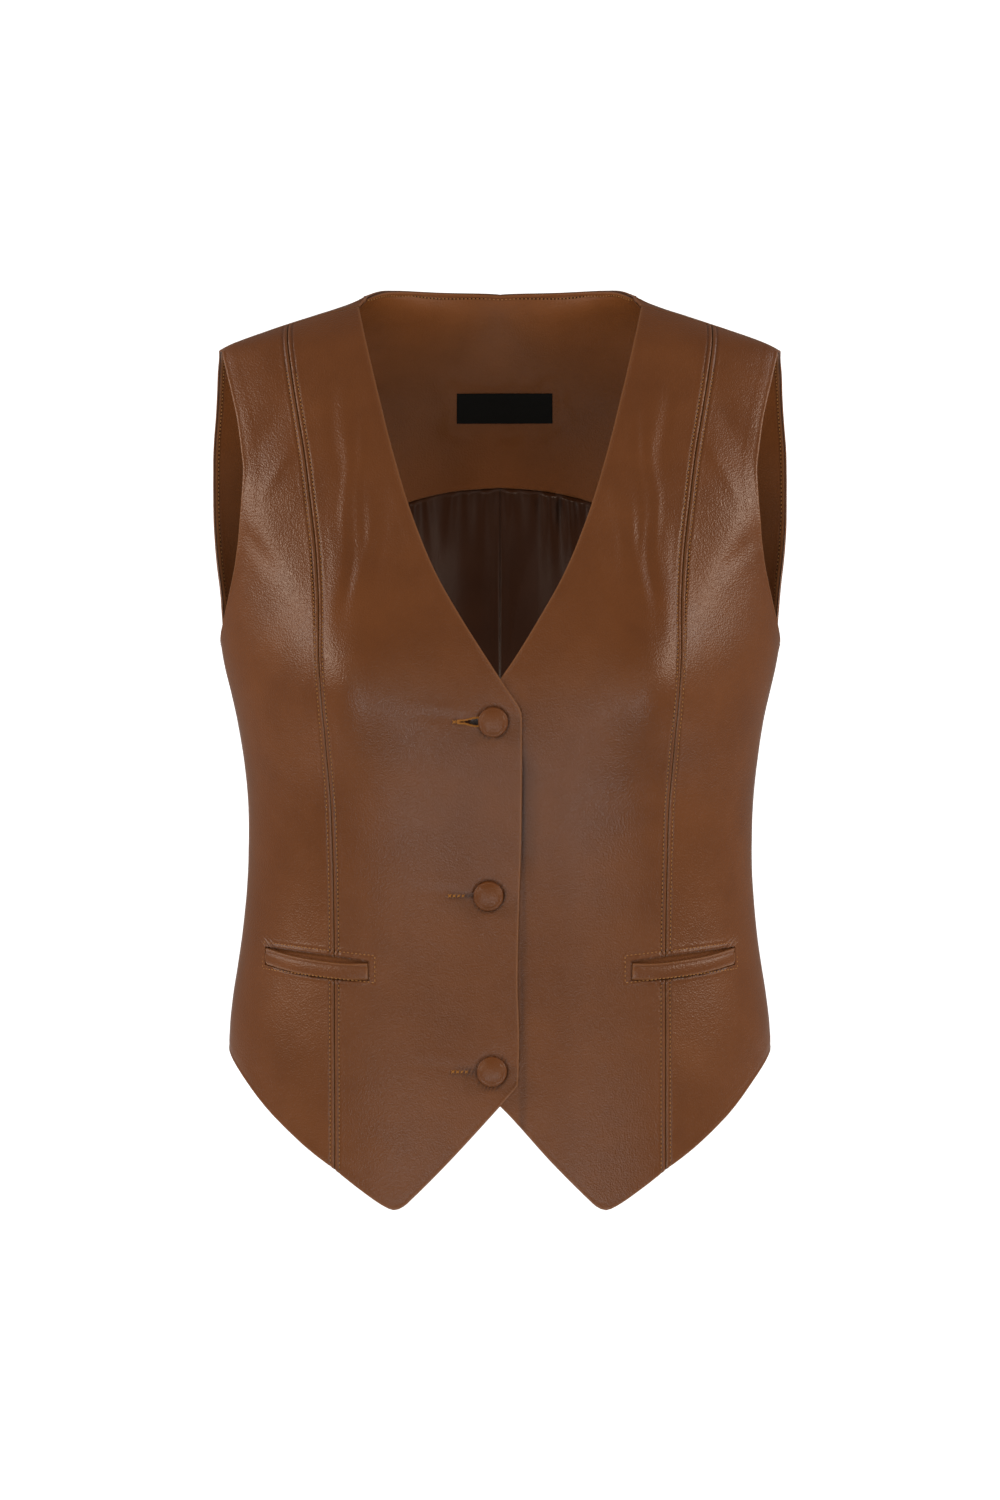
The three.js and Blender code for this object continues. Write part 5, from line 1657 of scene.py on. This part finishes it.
@dataclass
class Pockets:
    """The welts and the strips behind them."""

    welt_under: float = 1.3  # the welt's underside, below the form
    strip_under: float = 0.3  # the strip, below the panels' undersides and their gap
    strip_thick: float = 0.9

    @staticmethod
    def cloth(across: Array, up: Array, top: float, margin: float) -> Cloth:
        """One pocket's cloth on the form, from the window's lower edge to the given height."""
        return Cloth(POCKET.band(POCKET.bottom, top, across, up, margin), *np.meshgrid(across, up))

    @staticmethod
    def lift(welt: Cloth) -> Array:
        """The welt's height over the form: full in the middle, pressed at its seams, with a rolled top."""
        ends = np.minimum(welt.left, welt.right)
        full = 1.05 * np.sin(math.pi * np.clip(welt.v * 0.92 + 0.04, 0, 1)) ** 0.8
        pressed = 0.85 * np.exp(-welt.bottom / 0.8) + 0.95 * np.exp(-ends / 0.8)
        roll = 0.55 * bell(welt.top - 1.0, 0.7) - 0.22 * bell(welt.top - 2.5, 0.8)
        return full - pressed + roll + 0.10 * ripple(welt.points, 26, 61)

    @staticmethod
    def piece(name: str, kind: str, side: Side, c: Cloth, outer: Array, inner: Array,
              material: bpy.types.Material, slot: str, held: str) -> bpy.types.Object:
        """One wall of cloth between two heights over the form, with its material."""
        outer, inner = (side.place(c.points + c.normals * height[..., None]) for height in (outer, inner))
        item = new_piece(f"{name}_{side.value}_{kind}", *wall(outer, inner), f"{name}_{side.value}")
        item.data.materials.append(material)
        wide, long = c.flat()
        return item

    def build(self, finishes: Finishes) -> list[bpy.types.Object]:
        """Makes both pockets' pieces."""
        pieces = []
        across = np.concatenate([np.linspace(0, 0.03, 12), np.linspace(0.03, 0.97, 90)[1:-1],
                                 np.linspace(0.97, 1, 12)])
        welt = self.cloth(across, np.linspace(0, 1, 44), POCKET.welt_top, 0.12)
        strip = self.cloth(np.linspace(0, 1, 60), np.linspace(0, 1, 20), POCKET.top, -POCKET.facing_margin)
        near, lift = welt.nearest(), self.lift(welt)
        sag = 0.8 * smoothstep(strip.nearest(), 2, 9)
        for side in Side:
            base = drape(side.place(welt.points))
            item = self.piece("pocket_welt", "leather", side, welt, base + lift - rolled(near, 0.5),
                              base - self.welt_under, finishes.leather, "leather", "laid")
            # lighter along the welt's edges: wear, and a painted highlight on its rolled top
            edge_tone = 0.5 * bell(near - 0.7, 0.7)
            set_attribute(item, "wear", np.concatenate([edge_tone.ravel(), np.zeros(near.size)]))
            pieces.append(item)
            base = drape(side.place(strip.points)) - SHELL - SEAM_GAP - self.strip_under - sag
            pieces.append(self.piece("pocket_facing", "cloth", side, strip, base, base - self.strip_thick,
                                     finishes.facing, "facing_leather", "hung"))
        return pieces


@dataclass(frozen=True)
class CoveredButton:
    """A covered button's profile: a domed cap with the cover gathered under a round rim, on a shank."""

    radius: float = 9.0
    rim: float = 1.2
    dome: float = 2.3
    stand: float = 1.5
    shank: float = 1.5
    foot: float = -1.7
    slices: int = 96

    def profile(self) -> Array:
        """Radius and height from the shank's foot, round the rim, to the middle of the top."""
        rim_centre = self.stand + self.rim
        turn = np.radians(np.linspace(-90, 78, 22))
        rim = np.stack([self.radius - self.rim + self.rim * np.cos(turn),
                        rim_centre + self.rim * np.sin(turn)], 1)
        edge = rim[-1, 0]
        share = np.linspace(1, 0, 26)[1:]
        groove = -0.10 * bell(edge * (1 - share) - 0.7, 0.5)
        top = np.stack([edge * share, rim[-1, 1] + self.dome * (1 - share**2) * 0.9 + groove], 1)
        stem = np.array([(0.001, self.foot), (self.shank, self.foot), (self.shank, self.stand - 0.15),
                         (self.shank + 0.3, self.stand)])
        return np.vstack([stem, rim, top])

    def build(self, hole: ButtonholeShape, seed: int, finishes: Finishes) -> bpy.types.Object:
        """Makes the button at its buttonhole's seat, square to the front."""
        seat = BODY.front(hole.x, hole.z)
        up = BODY.outward(seat)
        right = np.cross(np.array([0.0, 0.0, 1.0]), up)
        right /= np.linalg.norm(right)
        high = np.cross(up, right)
        rows = self.profile()
        turn = np.linspace(0, 2 * math.pi, self.slices, endpoint=False) + 0.3 * seed
        r, h = rows[:, 0][:, None], rows[:, 1][:, None]
        outer = smoothstep(r, self.radius * 0.8, self.radius) * (h < self.stand + self.rim)
        gathers = 0.10 * np.sin(turn * 23 + seed) + 0.06 * np.sin(turn * 37)
        r = r + gathers[None, :] * outer
        h = h + 0.05 * np.sin(turn * 3 + seed)[None, :] * (r / self.radius)
        points = (seat + r[..., None] * (np.cos(turn)[:, None] * right + np.sin(turn)[:, None] * high)
                  + h[..., None] * up)
        count = len(rows)
        number = np.arange(count * self.slices).reshape(count, self.slices)
        after = np.roll(number, -1, axis=1)
        quads = np.stack([number[:-1], after[:-1], after[1:], number[1:]], -1).reshape(-1, 4)
        piece = new_piece(hole.name + "_cover", points.reshape(-1, 3), quads, hole.name)
        piece.data.materials.append(finishes.leather)
        return piece


@dataclass(frozen=True)
class Lamp:
    """A softbox on each side: its place at +x, its size and its power in watts."""

    name: str
    place: tuple[float, float, float]
    size: tuple[float, float]
    power: float
    colour: str = "#FFFFFF"


LAMPS = (
    Lamp("key", (1.47, -0.54, 0.34), (0.32, 0.46), 9.0, "#FFE9D4"),
    Lamp("rim", (1.42, 0.22, 0.66), (0.5, 0.55), 3.2),
    Lamp("low", (0.48, -1.41, -0.92), (0.26, 0.42), 3.2),
    Lamp("front", (1.05, -2.9, 0.0), (0.42, 1.0), 5.8, "#FFEEDD"),
)
AIM = Vector((0.0, 0.0, -0.3))


@dataclass
class Studio:
    """The camera at the photograph's angle, soft lights and a plain pale floor and wall."""

    distance: float = 2.6  # metres, as the height is
    height: float = -0.2835
    across_mm: float = 0.63  # one pixel of the photograph, at the side seams
    sensor_mm: float = 36.0
    fill: str = "#F7F3EC"
    fill_strength: float = 0.25

    def camera(self) -> None:
        """A level camera whose frame is 1000 by 1500 at the scale of the photograph."""
        data = bpy.data.cameras.new("camera")
        data.sensor_width = self.sensor_mm
        tall = PHOTO_SIZE[1] * self.across_mm * MM
        data.lens = data.sensor_width * self.distance / tall
        data.clip_end = 50
        item = bpy.data.objects.new("camera", data)
        item.location = (0.0, -self.distance, self.height)
        item.rotation_euler = (math.pi / 2, 0, 0)
        bpy.context.scene.collection.objects.link(item)
        bpy.context.scene.camera = item

    @staticmethod
    def lamp(lamp: Lamp, sign: int, side: str) -> None:
        """One of a pair of rectangular softboxes, aimed at the vest's middle."""
        name = f"{lamp.name} {side}"
        data = bpy.data.lights.new(name, "AREA")
        data.shape = "RECTANGLE"
        data.size, data.size_y = lamp.size
        data.energy = lamp.power
        data.color = linear(lamp.colour)[:3]
        item = bpy.data.objects.new(name, data)
        item.visible_camera = False
        item.location = (sign * lamp.place[0], *lamp.place[1:])
        item.rotation_euler = (AIM - item.location).to_track_quat("-Z", "Y").to_euler()
        bpy.context.scene.collection.objects.link(item)

    def sweep(self, finishes: Finishes) -> None:
        """The floor and the wall behind, one sheet bent through a large round: a profile carried along X."""
        floor, back, bend, top, half = -760.0, 4000.0, 600.0, 1500.0, 1100.0
        turn = np.linspace(0, math.pi / 2, 17)
        y = np.concatenate([[-150.0], back - bend + bend * np.sin(turn), [back]])
        z = np.concatenate([[floor], floor + bend - bend * np.cos(turn), [top]])
        x = np.linspace(-half, half, 5)
        grid = np.stack(np.broadcast_arrays(x[None, :], y[:, None], z[:, None]), -1)
        quads = grid_quads(*grid.shape[:2])
        mesh = bpy.data.meshes.new("floor")
        mesh.from_pydata((grid.reshape(-1, 3) * MM).tolist(), [], quads.tolist())
        mesh.polygons.foreach_set("use_smooth", np.ones(len(quads), bool))
        mesh.materials.append(finishes.acrylic)
        item = bpy.data.objects.new("floor", mesh)
        bpy.context.scene.collection.objects.link(item)

    def build(self, finishes: Finishes) -> None:
        """Makes the camera, lights, world and sweep."""
        self.camera()
        self.sweep(finishes)
        for sign, side in ((-1, "left"), (1, "right")):
            for lamp in LAMPS:
                self.lamp(lamp, sign, side)
        world = bpy.data.worlds.new("studio")
        world.use_nodes = True
        tree = world.node_tree
        fill = tree.nodes["Background"]
        fill.inputs["Color"].default_value = linear(self.fill)
        fill.inputs["Strength"].default_value = self.fill_strength
        paper = tree.nodes.new("ShaderNodeBackground")
        paper.inputs["Color"].default_value = linear("#FFFFFF")
        ray, mix = tree.nodes.new("ShaderNodeLightPath"), tree.nodes.new("ShaderNodeMixShader")
        tree.links.new(ray.outputs["Is Camera Ray"], mix.inputs["Fac"])
        tree.links.new(fill.outputs["Background"], mix.inputs[1])
        tree.links.new(paper.outputs["Background"], mix.inputs[2])
        tree.links.new(mix.outputs["Shader"], tree.nodes["World Output"].inputs["Surface"])
        bpy.context.scene.world = world
        bpy.context.scene.view_settings.view_transform = "Standard"


def main() -> None:
    """Builds the waistcoat and the studio."""
    logging.basicConfig(level=logging.INFO, format="%(message)s")
    finishes = Finishes()
    Studio().build(finishes)
    pieces = []
    for maker in (Fronts(), Back(), Pockets()):
        pieces += maker.build(finishes)
    for number, hole in enumerate(BUTTONHOLES):
        pieces.append(CoveredButton().build(hole, number, finishes))
    for piece in pieces:
        log.info("%s: %d faces", piece.name, len(piece.data.polygons))


if __name__ == "__main__":
    main()
